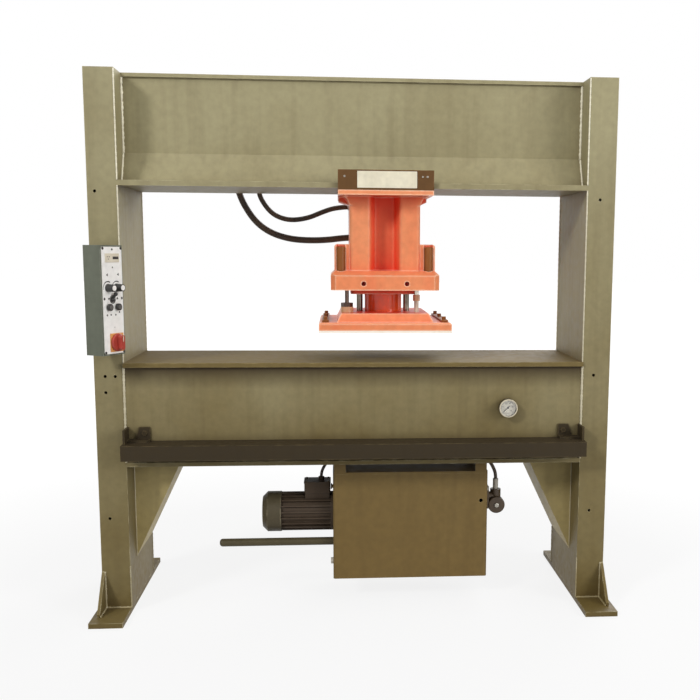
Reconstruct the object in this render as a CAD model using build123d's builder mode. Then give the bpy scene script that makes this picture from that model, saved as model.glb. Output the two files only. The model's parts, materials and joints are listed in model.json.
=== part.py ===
import os
from math import cos, pi, radians, sin, tan

from build123d import *

# Whole machine, in millimetres: X to the right, Y to the back, Z up from the floor
frame_width = 2000
frame_height = 2080
bed_height = 990
opening_height = 685
daylight = 115
head_rest = 110
overrun = 5
running_gap = 0.05
free_gap = 0.3

# Columns and their feet
column_width = 110
column_depth = 470
column_wall = 12
column_hole_radius = 6
left_hole_shares = [(-0.13, 0.451), (0.21, 0.451), (-0.13, 0.421), (-0.25, 0.785), (-0.15, 0.183)]
right_hole_shares = [(-0.08, 0.45), (-0.04, 0.779), (-0.09, 0.185)]
foot_thick = 20
foot_side = 18
foot_end = 170
gusset_thick = 12
gusset_height = 148
gusset_reach = 105
gusset_nose = 12

# Upper beam, a welded box on a rail plate
cover_width = 230
cover_thick = 14
web_width = 210
beam_plate = 12
haunch_share = 0.279
haunch_width = 310
rail_thick = 20

# Bed
bed_plate = 18
bed_lip = 15
bed_web = 15
bed_bottom = 586
flange_thick = 16
flange_width = 90
flange_lip = 6
rib_thick = 12
rib_spacing = 450
rib_clear = 20
knee_width = 190
knee_height = 398
knee_depth = 335
knee_plate = 12

# Tool ledge in front of the bed
ledge_depth = 110
ledge_height = 59
ledge_wall = 5
ledge_bottom = 629
bracket_inset = 38
bracket_width = 55
bracket_height = 54
bracket_reach = 45
bracket_plate = 8
bracket_slope = 14
bracket_end_gap = 4
bracket_end_reach = 80
bracket_bolt_radius = 5

# Pressure gauge on the bed's front web
gauge_inset = 299
gauge_rise_share = 0.4331
gauge_radius = 36
gauge_depth = 28
gauge_wall = 4
gauge_stem_radius = 9
gauge_stem_length = 14
gauge_dial_thick = 2
gauge_glass_thick = 3
needle_pin_radius = 1.5
needle_hub_radius = 4
needle_thick = 1.5
needle_length = 24
needle_tail = 9
needle_width = 3
needle_height = 1
needle_rest = 135

# Control box, turned towards the operator
box_turn = 60
box_corner_inset = 70
box_bottom = 1030
box_width = 115
box_depth = 80
box_height = 404
box_wall = 3
box_lip = 12
panel_thick = 3
panel_margin = 6
box_bracket_length = 48
box_bracket_height = 300
box_bracket_sheet = 4
counter_width = 72
counter_height = 32
counter_depth = 34
counter_proud = 3
counter_rise_share = 0.885
knob_radius = 15
knob_tip_radius = 13
knob_length = 30
knob_groove = 3
knob_rise_share = 0.615
knob_shaft_radius = 4
knob_shaft_length = 24
button_radius = 13
button_height = 9
button_travel = 4
button_stem_radius = 5
button_stem_length = 22
button_rise_share = 0.44
control_inset = 32
control_pitch = 45
stick_ball_radius = 10
stick_radius = 4
stick_length = 26
stick_tilt = 50
stick_grip_radius = 7.5
stick_rise_share = 0.51
switch_x = 68
switch_rise_share = 0.116
switch_plate_side = 68
switch_plate_thick = 3
switch_radius = 33
switch_disc = 9
switch_grip_width = 18
switch_grip_length = 54
switch_grip_height = 20
switch_shaft_radius = 5
switch_shaft_length = 30
control_seat = 0.5

# Oil tank under the bed
tank_left = -97
tank_width = 626
tank_depth = 350
tank_bottom = 99
tank_wall = 5
lid_thick = 8
lid_gap = 47
ear_width = 46
ear_thick = 10
plug_radius = 13
plug_height = 10
plug_y = -150
plug_z = 169
tank_hole_radius = 8
tank_hole_inset = 27
tank_hole_drop = 122

# Motor on the tank's left wall and the pump inside the tank
motor_y = -55
motor_z = 354
motor_length = 287
motor_flange_radius = 80
motor_flange_thick = 10
barrel_radius = 70
fin_height = 10
fin_thick = 5
fin_count = 20
stator_radius = 56
shield_thick = 14
cowl_length = 76
cowl_wall = 2.5
cowl_chamfer = 20
cowl_slot_width = 9
cowl_slot_length = 34
cowl_slot_radius = 42
cowl_slot_count = 12
shaft_radius = 14
shaft_reach = 60
rotor_gap = 1
rotor_length = 120
fan_radius = 68
fan_hub_radius = 24
fan_width = 26
fan_blade = 3
fan_blades = 7
fan_gap = 8
terminal_width = 106
terminal_depth = 90
terminal_height = 46
terminal_inset = 1
terminal_pad = 4
terminal_lid = 6
terminal_lid_edge = 3
pump_radius = 52
pump_length = 120
pump_socket = 70

# Fittings on the tank's ends
cooler_radius = 16
cooler_length = 459
cooler_round = 12
cooler_y = -115
cooler_z = 241
outlet_y = -55
outlet_z = 405
outlet_pad_thick = 19
outlet_pad_width = 70
outlet_pad_height = 95
outlet_neck_radius = 20
outlet_x = 51
outlet_body_radius = 22
outlet_body_height = 64
outlet_cap_radius = 35
outlet_cap_length = 38
outlet_cap_drop = 30
ferrule_radius = 11
ferrule_length = 43

# Cutting head: trolley, casting and cylinder
trolley_gap = 8
trolley_side_gap = 4
trolley_width = 364
trolley_plate = 18
bar_height = 75
roller_radius = 22
roller_width = 36
roller_pitch = 314
roller_side_gap = 10
roller_groove = 3
axle_radius = 8
axle_head_radius = 12
axle_head = 5
axle_cover = 5
axle_play = 0.5
body_width = 275
body_depth = 350
body_height = 287
body_round = 15
recess_mouth = 116
recess_floor = 78
recess_depth = 75
recess_round = 12
flare_width = 22
flare_height = 36
flare_share = 0.3
lug_left = 180
lug_right = 168
lug_depth = 100
lug_height = 33
lug_y = -40
lug_slope = 14
pocket_reach = 197
pocket_depth = 100
pocket_height = 103
pocket_round = 12
pocket_setback = 12
sleeve_radius = 16.5
sleeve_groove = 1
sleeve_x = 171
sleeve_seat = 10
sleeve_length = 103
sleeve_dome = 4
block_width = 422
block_depth = 430
block_height = 75
block_chamfer = 18
block_edge = 16
block_slope = 18
block_hole_radius = 9
block_hole_depth = 40
block_hole_pitch = 168
block_hole_rise = 26
gland_width = 265
gland_depth = 200
gland_thick = 19
gland_round = 20
ram_radius = 75
ram_length = 280
oil_space = 40
oil_port_radius = 6
rod_radius = 12.5
rod_pitch = 190
rod_length = 270
rod_space = 20

# Traverse drive behind the rear bar
gearbox_side = 92
gearbox_depth = 52
drive_motor_radius = 46
drive_motor_length = 84
drive_shaft_radius = 9
drive_shaft_depth = 40

# Press plate and what it carries
plate_width = 515
plate_depth = 490
plate_thick = 31
plate_rise = 33
plate_edge = 6
rise_width = 376
rise_depth = 430
rise_taper = 27
pad_thick = 8
clip_width = 26
clip_thick = 9
clip_length = 430
clip_inset = 6
clip_bolt_radius = 8
clip_bolt_height = 12
clip_bolt_pitch = 180
return_x = -148
return_y = -115
return_radius = 8
return_base_radius = 25
return_base = 22
return_nut_radius = 24
return_nut = 16
return_length = 185
limit_x = 128
limit_y = -120
limit_radius = 9
limit_collar_radius = 14
limit_collar = 24
limit_drop = 20
limit_length = 200
rod_top_space = 20

# Hoses and cables: hand-chosen points in X and Z on planes of constant Y
hose_y = 285
thick_hose_radius = 13.5
thin_hose_radius = 10.5
port_radius = 10
port_z = 1812
port_flange_radius = 22
port_flange_thick = 6
union_wall = 4
union_radius = 20
union_reach = 36
thick_hose_route = [
    (-508, 1785), (-508, 1746), (-503, 1704), (-492, 1661), (-472, 1611), (-425, 1539),
    (-361, 1492), (-280, 1467), (-197, 1461), (-116, 1464), (-50, 1473), (4, 1476),
]
thin_hose_route = [
    (-420, 1785), (-420, 1746), (-416, 1704), (-408, 1663), (-395, 1627), (-360, 1580),
    (-319, 1556), (-267, 1546), (-197, 1557), (-135, 1584), (-80, 1602), (-30, 1605),
]
motor_cable_radius = 6
motor_cable_route = [
    (-145, 498), (-145, 513), (-136, 536), (-120, 559),
    (-98, 582), (-71, 603), (-38, 619), (-6, 619),
]
outlet_hose_radius = 7
outlet_hose_route = [
    (580, 480), (580, 498), (572, 523), (557, 549),
    (537, 573), (511, 597), (482, 613), (456, 613),
]

# Places worked out from the sizes above
sides = (-1, 1)
half_depth = column_depth / 2
inner_half = frame_width / 2 - column_width
column_x = frame_width / 2 - column_width / 2
foot_width = column_width + foot_side
foot_length = column_depth + 2 * foot_end
rail_top = bed_height + opening_height
rail_bottom = rail_top - rail_thick
haunch_top = rail_top + haunch_share * (frame_height - cover_thick - rail_top)
bed_under = bed_height - bed_plate
flange_top = bed_bottom + flange_thick
ledge_top = ledge_bottom + ledge_height
tank_top = bed_bottom - lid_gap
tank_x = tank_left + tank_width / 2
motor_plane = Plane(origin=(tank_left, motor_y, motor_z), x_dir=(0, 1, 0), z_dir=(-1, 0, 0))
gauge_x = inner_half - gauge_inset
gauge_z = ledge_top + gauge_rise_share * (bed_under - ledge_top)
gauge_plane = Plane(origin=(gauge_x, -half_depth, gauge_z), x_dir=(1, 0, 0), z_dir=(0, -1, 0))

turn_cos = cos(radians(box_turn))
turn_sin = sin(radians(box_turn))
box_corner = (
    -frame_width / 2 + box_corner_inset,
    -half_depth - box_width * turn_sin - box_depth * turn_cos,
)
panel_plane = Plane(
    origin=(box_corner[0], box_corner[1], box_bottom),
    x_dir=(turn_cos, turn_sin, 0),
    z_dir=(turn_sin, -turn_cos, 0),
)
panel_face = panel_plane.offset(panel_thick)
panel_axis = Axis(panel_plane.origin, panel_plane.z_dir)
counter_place = (box_width / 2, counter_rise_share * box_height)
knob_places = [(control_inset + n * control_pitch, knob_rise_share * box_height) for n in range(2)]
button_places = [(control_inset + n * control_pitch, button_rise_share * box_height) for n in range(2)]
stick_place = (control_inset + control_pitch / 2, stick_rise_share * box_height)
switch_place = (switch_x, switch_rise_share * box_height)

trolley_top = rail_bottom - trolley_gap
trolley_bottom = trolley_top - trolley_plate
bar_inner = half_depth + trolley_side_gap
bar_outer = bar_inner + trolley_plate
block_top = trolley_bottom - body_height
block_bottom = block_top - block_height
sleeve_bottom = block_top - sleeve_seat
sleeve_y = pocket_setback - body_depth / 2
gland_bottom = block_bottom - gland_thick
roller_z = rail_top + roller_radius + free_gap
roller_outer = bar_inner - roller_side_gap
roller_inner = roller_outer - roller_width
roller_places = [head_rest + side * roller_pitch / 2 for side in sides]
rod_places = [(head_rest + side * rod_pitch / 2, 0) for side in sides]
pad_bottom = bed_height + daylight
plate_bottom = pad_bottom + pad_thick
plate_middle = plate_bottom + plate_thick
plate_top = plate_middle + plate_rise
return_place = (head_rest + return_x, return_y)
limit_place = (head_rest + limit_x, limit_y)
ram_top = plate_top + ram_length

hose_sizes = [(thick_hose_route, thick_hose_radius), (thin_hose_route, thin_hose_radius)]
union_places = []
for route, radius in hose_sizes:
    last_run = Vector(*route[-1]) - Vector(*route[-2])
    socket = last_run.normalized() * union_reach
    union_places.append((route[-1][0] + socket.X, route[-1][1] + socket.Y))

os.makedirs("parts", exist_ok=True)


def save(piece, name):
    """Label a finished piece and write its own file."""
    piece.label = name
    export_step(piece, f"parts/{name}.step")


def route_wire(points, y):
    """A cord's path: straight runs joined by arcs as large as the runs allow."""
    corners = [Vector(x, y, z) for x, z in points]
    runs = [b - a for a, b in zip(corners, corners[1:])]
    radii = []
    for before, after in zip(runs, runs[1:]):
        half_turn = radians(before.get_angle(after)) / 2
        radii.append(0.45 * min(before.length, after.length) / tan(half_turn))
    print("cord radii", [round(r) for r in radii])
    return corners, radii


def report_cord(name, solid, wire, radius):
    """Compare a tube's volume with its section times its length."""
    expected = wire.length * pi * radius ** 2
    print(name, "length", round(wire.length), "volume ratio", round(solid.volume / expected, 4))


# Columns: closed boxes with cable and bolt holes in the front wall
for name, side, hole_shares in (
    ("left_column", -1, left_hole_shares),
    ("right_column", 1, right_hole_shares),
):
    with BuildPart() as column:
        with BuildSketch(Plane.XY.offset(foot_thick)):
            with Locations((side * column_x, 0)):
                Rectangle(column_width, column_depth)
                Rectangle(column_width - 2 * column_wall, column_depth - 2 * column_wall, mode=Mode.SUBTRACT)
        extrude(amount=frame_height - foot_thick)
        with BuildSketch(Plane.XY.offset(frame_height - column_wall)):
            with Locations((side * column_x, 0)):
                Rectangle(column_width, column_depth)
        extrude(amount=column_wall)
        with BuildSketch(Plane.XZ.offset(half_depth)):
            for x_share, z_share in hole_shares:
                with Locations((side * column_x + x_share * column_width, z_share * frame_height)):
                    Circle(column_hole_radius)
        extrude(amount=-column_wall - overrun, mode=Mode.SUBTRACT)
    save(column.part, name)

# Feet: flat plates with a gusset against the column's front and rear faces
for name, side in (("left_foot", -1), ("right_foot", 1)):
    with BuildPart() as foot:
        with BuildSketch(Plane.XY):
            with Locations((side * (inner_half + foot_width / 2), 0)):
                Rectangle(foot_width, foot_length)
        extrude(amount=foot_thick)
        with BuildSketch(Plane.YZ.offset(side * frame_width / 2)):
            for end in sides:
                with BuildLine():
                    Polyline(
                        (end * half_depth, foot_thick),
                        (end * (half_depth + gusset_reach), foot_thick),
                        (end * (half_depth + gusset_reach), foot_thick + gusset_nose),
                        (end * half_depth, foot_thick + gusset_height),
                        close=True,
                    )
                make_face()
        extrude(amount=-side * gusset_thick)
    save(foot.part, name)

# Upper beam: cover plate, two webs, inclined haunches and the rail plate
with BuildPart() as upper_beam:
    with BuildSketch(Plane.YZ):
        with BuildLine():
            outline = Polyline(
                (0, frame_height),
                (cover_width / 2, frame_height),
                (cover_width / 2, frame_height - cover_thick),
                (web_width / 2, frame_height - cover_thick),
                (web_width / 2, haunch_top),
                (haunch_width / 2, rail_top),
                (half_depth, rail_top),
                (half_depth, rail_bottom),
                (0, rail_bottom),
            )
            mirror(outline, about=Plane.YZ)
        make_face()
        with BuildLine():
            hollow = Polyline(
                (0, frame_height - cover_thick),
                (web_width / 2 - beam_plate, frame_height - cover_thick),
                (web_width / 2 - beam_plate, haunch_top),
                (haunch_width / 2 - beam_plate, rail_top),
                (0, rail_top),
            )
            mirror(hollow, about=Plane.YZ)
        make_face(mode=Mode.SUBTRACT)
    extrude(amount=inner_half, both=True)
save(upper_beam.part, "upper_beam")

# Bed: two webs joined by cross ribs, on flanges along their lower edges
with BuildPart() as bed_frame:
    with BuildSketch(Plane.XY.offset(flange_top)):
        with GridLocations(0, column_depth - bed_web, 1, 2):
            Rectangle(2 * inner_half, bed_web)
    extrude(amount=bed_under - flange_top)
    rib_bottom = bed_bottom + rib_clear
    with BuildSketch(Plane.XY.offset(rib_bottom)):
        with GridLocations(rib_spacing, 0, 3, 1):
            Rectangle(rib_thick, column_depth - 2 * bed_web)
    extrude(amount=bed_under - rib_bottom)
save(bed_frame.part, "bed_frame")

with BuildPart() as bed_flanges:
    with BuildSketch(Plane.XY.offset(bed_bottom)):
        with GridLocations(0, column_depth + 2 * flange_lip - flange_width, 1, 2):
            Rectangle(2 * inner_half, flange_width)
    extrude(amount=flange_thick)
save(bed_flanges.part, "bed_flanges")

with BuildPart() as bed_top:
    with BuildSketch(Plane.XY.offset(bed_under)):
        with Locations((0, -bed_lip / 2)):
            Rectangle(2 * inner_half, column_depth + bed_lip)
    extrude(amount=bed_plate)
    front_edges = bed_top.edges().filter_by(Axis.X).group_by(Axis.Y)[0]
    chamfer(front_edges, length=bed_plate / 9)
save(bed_top.part, "bed_top")

# Knees under the bed: a front plate and a sloping flange behind it against each column
with BuildPart() as bed_knees:
    for side in sides:
        knee_inner = side * inner_half
        knee_tip = side * (inner_half - knee_width)
        knee_lean = knee_width / knee_height * knee_plate
        with BuildSketch(Plane.XZ.offset(-half_depth)):
            with BuildLine():
                Polyline(
                    (knee_inner, bed_bottom - knee_height),
                    (knee_tip, bed_bottom),
                    (knee_tip + side * (knee_plate + knee_lean), bed_bottom),
                    (knee_inner, bed_bottom - knee_height + knee_plate * knee_height / knee_width),
                    close=True,
                )
            make_face()
        extrude(amount=knee_depth)
        with BuildSketch(Plane.XZ.offset(knee_depth - half_depth - knee_plate)):
            with BuildLine():
                Polyline(
                    (knee_inner, bed_bottom - knee_height),
                    (knee_tip, bed_bottom),
                    (knee_inner, bed_bottom),
                    close=True,
                )
            make_face()
        extrude(amount=knee_plate)
save(bed_knees.part, "bed_knees")

# Tool ledge: a box section along the bed's front, held by a bracket with an end plate at each end
with BuildPart() as tool_ledge:
    with BuildSketch(Plane.YZ):
        with Locations((-half_depth - ledge_depth / 2, ledge_bottom + ledge_height / 2)):
            Rectangle(ledge_depth, ledge_height)
            Rectangle(ledge_depth - 2 * ledge_wall, ledge_height - 2 * ledge_wall, mode=Mode.SUBTRACT)
    extrude(amount=inner_half, both=True)
save(tool_ledge.part, "tool_ledge")

with BuildPart() as ledge_brackets:
    for side in sides:
        bracket_in = side * (inner_half - bracket_inset - bracket_width)
        bracket_out = side * (inner_half - bracket_inset)
        bracket_end = side * (inner_half - bracket_end_gap)
        with BuildSketch(Plane.XZ.offset(half_depth)):
            with BuildLine():
                Polyline(
                    (bracket_in, ledge_top),
                    (bracket_in, ledge_top + bracket_height),
                    (bracket_out - side * bracket_slope, ledge_top + bracket_height),
                    (bracket_out, ledge_top + bracket_plate),
                    (bracket_end, ledge_top + bracket_plate),
                    (bracket_end, ledge_top),
                    close=True,
                )
            make_face()
        extrude(amount=bracket_plate)
        with BuildSketch(Plane.XY.offset(ledge_top)):
            with Locations(((bracket_in + bracket_end) / 2, -half_depth - bracket_reach / 2)):
                Rectangle(abs(bracket_end - bracket_in), bracket_reach)
        extrude(amount=bracket_plate)
        with BuildSketch(Plane.YZ.offset(bracket_end)):
            with Locations((-half_depth - bracket_end_reach / 2, ledge_top + bracket_height / 2)):
                Rectangle(bracket_end_reach, bracket_height)
        extrude(amount=-side * bracket_plate)
        bolt_place = (
            (bracket_in + bracket_out - side * bracket_slope) / 2,
            ledge_top + bracket_height / 2 + bracket_plate / 2,
        )
        with BuildSketch(Plane.XZ.offset(half_depth + bracket_plate)):
            with Locations(bolt_place):
                RegularPolygon(2 * bracket_bolt_radius, 6)
        extrude(amount=bracket_bolt_radius)
save(ledge_brackets.part, "ledge_brackets")

# Pressure gauge: case on a short stem, dial, glass and needle
gauge_cavity = gauge_radius - gauge_wall
gauge_front = gauge_stem_length + gauge_depth
dial_seat = gauge_stem_length + gauge_wall
needle_seat = dial_seat + gauge_dial_thick
with BuildPart() as gauge_case:
    with BuildSketch(gauge_plane):
        Circle(gauge_stem_radius)
    extrude(amount=gauge_stem_length)
    with BuildSketch(gauge_plane.offset(gauge_stem_length)):
        Circle(gauge_radius)
    extrude(amount=gauge_depth)
    rim = gauge_case.edges().group_by(Axis.Y)[0]
    fillet(rim, radius=gauge_wall / 2)
    with BuildSketch(gauge_plane.offset(dial_seat)):
        Circle(gauge_cavity)
    extrude(amount=gauge_depth, mode=Mode.SUBTRACT)
    with BuildSketch(gauge_plane.offset(dial_seat)):
        Circle(needle_pin_radius + running_gap)
    extrude(amount=-gauge_stem_length, mode=Mode.SUBTRACT)
save(gauge_case.part, "gauge_case")

with BuildPart() as gauge_dial:
    with BuildSketch(gauge_plane.offset(dial_seat)):
        Circle(gauge_cavity)
        Circle(needle_pin_radius + free_gap, mode=Mode.SUBTRACT)
    extrude(amount=gauge_dial_thick)
save(gauge_dial.part, "gauge_dial")

with BuildPart() as gauge_glass:
    with BuildSketch(gauge_plane.offset(gauge_front - gauge_wall / 2 - gauge_glass_thick)):
        Circle(gauge_cavity)
    extrude(amount=gauge_glass_thick)
save(gauge_glass.part, "gauge_glass")

needle_plane = Plane(
    origin=gauge_plane.offset(needle_seat + needle_height).origin,
    x_dir=(cos(radians(needle_rest)), 0, sin(radians(needle_rest))),
    z_dir=gauge_plane.z_dir,
)
with BuildPart() as gauge_needle:
    with BuildSketch(needle_plane):
        with BuildLine():
            Polyline(
                (-needle_width / 2, -needle_tail),
                (needle_width / 2, -needle_tail),
                (needle_width / 4, needle_length),
                (-needle_width / 4, needle_length),
                close=True,
            )
        make_face()
        Circle(needle_hub_radius)
    extrude(amount=needle_thick)
    with BuildSketch(needle_plane):
        Circle(needle_pin_radius)
    extrude(amount=-needle_height - gauge_dial_thick - gauge_wall)
save(gauge_needle.part, "gauge_needle")

# Control box: shell with a lipped front, its panel and the bracket on the column
with BuildPart() as control_box:
    with BuildSketch(panel_plane):
        Rectangle(box_width, box_height, align=Align.MIN)
    extrude(amount=-box_depth)
    with BuildSketch(panel_plane.offset(-box_wall)):
        with Locations((box_wall, box_wall)):
            Rectangle(box_width - 2 * box_wall, box_height - 2 * box_wall, align=Align.MIN)
    extrude(amount=-box_depth + 2 * box_wall, mode=Mode.SUBTRACT)
    with BuildSketch(panel_plane):
        with Locations((box_lip, box_lip)):
            Rectangle(box_width - 2 * box_lip, box_height - 2 * box_lip, align=Align.MIN)
    extrude(amount=-box_wall - overrun, mode=Mode.SUBTRACT)
save(control_box.part, "control_box")

with BuildPart() as panel_bracket:
    back_corner = (box_corner[0] + box_width * turn_cos - box_depth * turn_sin, -half_depth)
    with BuildSketch(Plane.XY.offset(box_bottom + (box_height - box_bracket_height) / 2)):
        with BuildLine():
            Polyline(
                back_corner,
                (back_corner[0] + box_bracket_length, back_corner[1]),
                (
                    back_corner[0] + box_bracket_length * turn_sin,
                    back_corner[1] - box_bracket_length * turn_cos,
                ),
                close=True,
            )
        make_face()
        offset(amount=-box_bracket_sheet, mode=Mode.SUBTRACT)
    extrude(amount=box_bracket_height)
save(panel_bracket.part, "panel_bracket")

with BuildPart() as control_panel:
    with BuildSketch(panel_plane):
        with Locations((box_width / 2, box_height / 2)):
            RectangleRounded(box_width - 2 * panel_margin, box_height - 2 * panel_margin, panel_margin)
        with Locations(*knob_places):
            Circle(knob_shaft_radius + running_gap, mode=Mode.SUBTRACT)
        with Locations(*button_places):
            Circle(button_stem_radius + running_gap, mode=Mode.SUBTRACT)
        with Locations(stick_place):
            Circle(stick_ball_radius + free_gap, mode=Mode.SUBTRACT)
        with Locations(switch_place):
            Circle(switch_shaft_radius + running_gap, mode=Mode.SUBTRACT)
        with Locations(counter_place):
            Rectangle(counter_width, counter_height, mode=Mode.SUBTRACT)
    extrude(amount=panel_thick)
save(control_panel.part, "control_panel")

with BuildPart() as counter:
    with BuildSketch(panel_face.offset(counter_proud)):
        with Locations(counter_place):
            Rectangle(counter_width, counter_height)
    extrude(amount=-counter_depth)
    front = counter.faces().sort_by(panel_axis)[-1]
    chamfer(front.edges(), length=counter_proud / 2)
save(counter.part, "counter")

# Controls on the panel: two knobs, two push buttons, the joystick and the main switch
for name, place in (("knob_left", knob_places[0]), ("knob_right", knob_places[1])):
    with BuildPart() as knob:
        with BuildSketch(panel_face.offset(control_seat)):
            with Locations(place):
                Circle(knob_radius)
        with BuildSketch(panel_face.offset(control_seat + knob_length)):
            with Locations(place):
                Circle(knob_tip_radius)
        loft()
        with BuildSketch(panel_face.offset(control_seat + knob_length)):
            with Locations((place[0], place[1] + knob_radius / 2)):
                Rectangle(knob_groove, knob_radius)
        extrude(amount=-knob_groove / 2, mode=Mode.SUBTRACT)
        with BuildSketch(panel_face.offset(control_seat)):
            with Locations(place):
                Circle(knob_shaft_radius)
        extrude(amount=-knob_shaft_length)
    save(knob.part, name)

for name, place in (("button_left", button_places[0]), ("button_right", button_places[1])):
    with BuildPart() as button:
        with BuildSketch(panel_face.offset(control_seat + button_travel)):
            with Locations(place):
                Circle(button_radius)
        extrude(amount=button_height)
        crown = button.edges().filter_by(GeomType.CIRCLE).sort_by(panel_axis)[-1]
        fillet(crown, radius=button_height / 4)
        with BuildSketch(panel_face.offset(control_seat + button_travel)):
            with Locations(place):
                Circle(button_stem_radius)
        extrude(amount=-button_stem_length)
    save(button.part, name)

stick_plane = Plane(
    origin=panel_plane.from_local_coords((stick_place[0], stick_place[1], panel_thick / 2)),
    x_dir=panel_plane.x_dir,
    z_dir=panel_plane.z_dir * cos(radians(stick_tilt)) + Vector(0, 0, sin(radians(stick_tilt))),
)
with BuildPart(stick_plane) as joystick:
    Sphere(stick_ball_radius)
    Cylinder(stick_radius, stick_length, align=(Align.CENTER, Align.CENTER, Align.MIN))
    with Locations((0, 0, stick_length)):
        Sphere(stick_grip_radius)
save(joystick.part, "joystick")

with BuildPart() as switch_plate:
    with BuildSketch(panel_face):
        with Locations(switch_place):
            RectangleRounded(switch_plate_side, switch_plate_side, switch_plate_thick)
            Circle(switch_shaft_radius + running_gap, mode=Mode.SUBTRACT)
    extrude(amount=switch_plate_thick)
save(switch_plate.part, "switch_plate")

switch_seat = panel_face.offset(switch_plate_thick + control_seat)
with BuildPart() as main_switch:
    with BuildSketch(switch_seat):
        with Locations(switch_place):
            Circle(switch_radius)
    extrude(amount=switch_disc)
    chamfer(main_switch.faces().sort_by(panel_axis)[-1].edges(), length=switch_disc / 3)
    with BuildSketch(switch_seat.offset(switch_disc)):
        with Locations(switch_place):
            SlotOverall(switch_grip_length, switch_grip_width, rotation=90)
    extrude(amount=switch_grip_height)
    with BuildSketch(switch_seat):
        with Locations(switch_place):
            Circle(switch_shaft_radius)
    extrude(amount=-switch_shaft_length)
save(main_switch.part, "main_switch")

# Oil tank: open sheet box, closed by a lid whose ears hang from the bed's flanges
tank_rim = tank_top - lid_thick
pump_plane = Plane(origin=(tank_left, motor_y, motor_z), x_dir=(0, 1, 0), z_dir=(1, 0, 0))
with BuildPart() as tank:
    with BuildSketch(Plane.XY.offset(tank_bottom)):
        with Locations((tank_x, 0)):
            RectangleRounded(tank_width, tank_depth, 2 * tank_wall)
    extrude(amount=tank_rim - tank_bottom)
    with BuildSketch(Plane.XY.offset(tank_bottom + tank_wall)):
        with Locations((tank_x, 0)):
            RectangleRounded(tank_width - 2 * tank_wall, tank_depth - 2 * tank_wall, tank_wall)
    extrude(amount=tank_rim - tank_bottom, mode=Mode.SUBTRACT)
    with BuildSketch(pump_plane):
        Circle(shaft_radius + overrun)
    extrude(amount=tank_wall + overrun, mode=Mode.SUBTRACT)
    with BuildSketch(Plane.XZ.offset(tank_depth / 2)):
        with Locations((tank_left + tank_width - tank_hole_inset, tank_top - tank_hole_drop)):
            Circle(tank_hole_radius)
    extrude(amount=-tank_wall - overrun, mode=Mode.SUBTRACT)
save(tank.part, "tank")

with BuildPart() as tank_lid:
    with BuildSketch(Plane.XY.offset(tank_rim)):
        with Locations((tank_x, 0)):
            RectangleRounded(tank_width, tank_depth, 2 * tank_wall)
    extrude(amount=lid_thick)
    ear_pitch = tank_width - ear_width - 2 * tank_wall
    with BuildSketch(Plane.XY.offset(tank_top)):
        with Locations((tank_x, 0)):
            with GridLocations(ear_pitch, tank_depth - ear_thick, 2, 2):
                Rectangle(ear_width, ear_thick)
    extrude(amount=bed_bottom - tank_top)
save(tank_lid.part, "tank_lid")

with BuildPart() as drain_plug:
    with BuildSketch(Plane(origin=(tank_left, plug_y, plug_z), x_dir=(0, 1, 0), z_dir=(-1, 0, 0))):
        RegularPolygon(plug_radius, 6)
    extrude(amount=plug_height)
save(drain_plug.part, "drain_plug")

# Motor: finned barrel with a flange on the tank, measured from the tank's wall outwards
barrel_length = motor_length - motor_flange_thick - cowl_length
shield_seat = motor_flange_thick + barrel_length
cowl_radius = motor_flange_radius + cowl_wall
with BuildPart() as motor_body:
    with BuildSketch(motor_plane):
        Circle(motor_flange_radius)
    extrude(amount=motor_flange_thick)
    with BuildSketch(motor_plane.offset(motor_flange_thick)):
        Circle(barrel_radius)
        with PolarLocations(barrel_radius, fin_count, start_angle=180 / fin_count):
            Rectangle(2 * fin_height, fin_thick)
    extrude(amount=barrel_length)
    with BuildSketch(motor_plane.offset(shield_seat)):
        Circle(motor_flange_radius)
    extrude(amount=shield_thick)
    pad_length = terminal_width - 2 * terminal_pad
    with BuildSketch(motor_plane.offset(motor_flange_thick + terminal_inset + terminal_pad)):
        with Locations((0, -barrel_radius)):
            Rectangle(terminal_depth - 2 * terminal_pad, 2 * (fin_height + terminal_pad))
    extrude(amount=pad_length)
    with BuildSketch(motor_plane.offset(motor_flange_thick)):
        Circle(stator_radius)
    extrude(amount=barrel_length, mode=Mode.SUBTRACT)
    with BuildSketch(motor_plane):
        Circle(shaft_radius + running_gap)
    extrude(amount=shield_seat + shield_thick, mode=Mode.SUBTRACT)
save(motor_body.part, "motor_body")

with BuildPart() as motor_cowl:
    cowl_straight = cowl_length - cowl_chamfer
    with BuildSketch(motor_plane.offset(shield_seat)):
        Circle(cowl_radius)
    extrude(amount=cowl_straight)
    with BuildSketch(motor_plane.offset(shield_seat + cowl_straight)):
        Circle(cowl_radius)
    extrude(amount=cowl_chamfer, taper=45)
    with BuildSketch(motor_plane.offset(shield_seat)):
        Circle(motor_flange_radius)
    extrude(amount=cowl_straight, mode=Mode.SUBTRACT)
    with BuildSketch(motor_plane.offset(shield_seat + cowl_straight)):
        Circle(motor_flange_radius)
    extrude(amount=cowl_chamfer - cowl_wall, taper=45, mode=Mode.SUBTRACT)
    with BuildSketch(motor_plane.offset(motor_length)):
        with PolarLocations(cowl_slot_radius, cowl_slot_count):
            SlotOverall(cowl_slot_length, cowl_slot_width)
    extrude(amount=-cowl_wall - overrun, mode=Mode.SUBTRACT)
save(motor_cowl.part, "motor_cowl")

fan_seat = shield_seat + shield_thick + fan_gap
with BuildPart() as motor_rotor:
    with BuildSketch(motor_plane.offset(-shaft_reach)):
        Circle(shaft_radius)
    extrude(amount=shaft_reach + fan_seat + fan_width)
    with BuildSketch(motor_plane.offset(motor_flange_thick + (barrel_length - rotor_length) / 2)):
        Circle(stator_radius - rotor_gap)
    extrude(amount=rotor_length)
save(motor_rotor.part, "motor_rotor")

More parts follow.
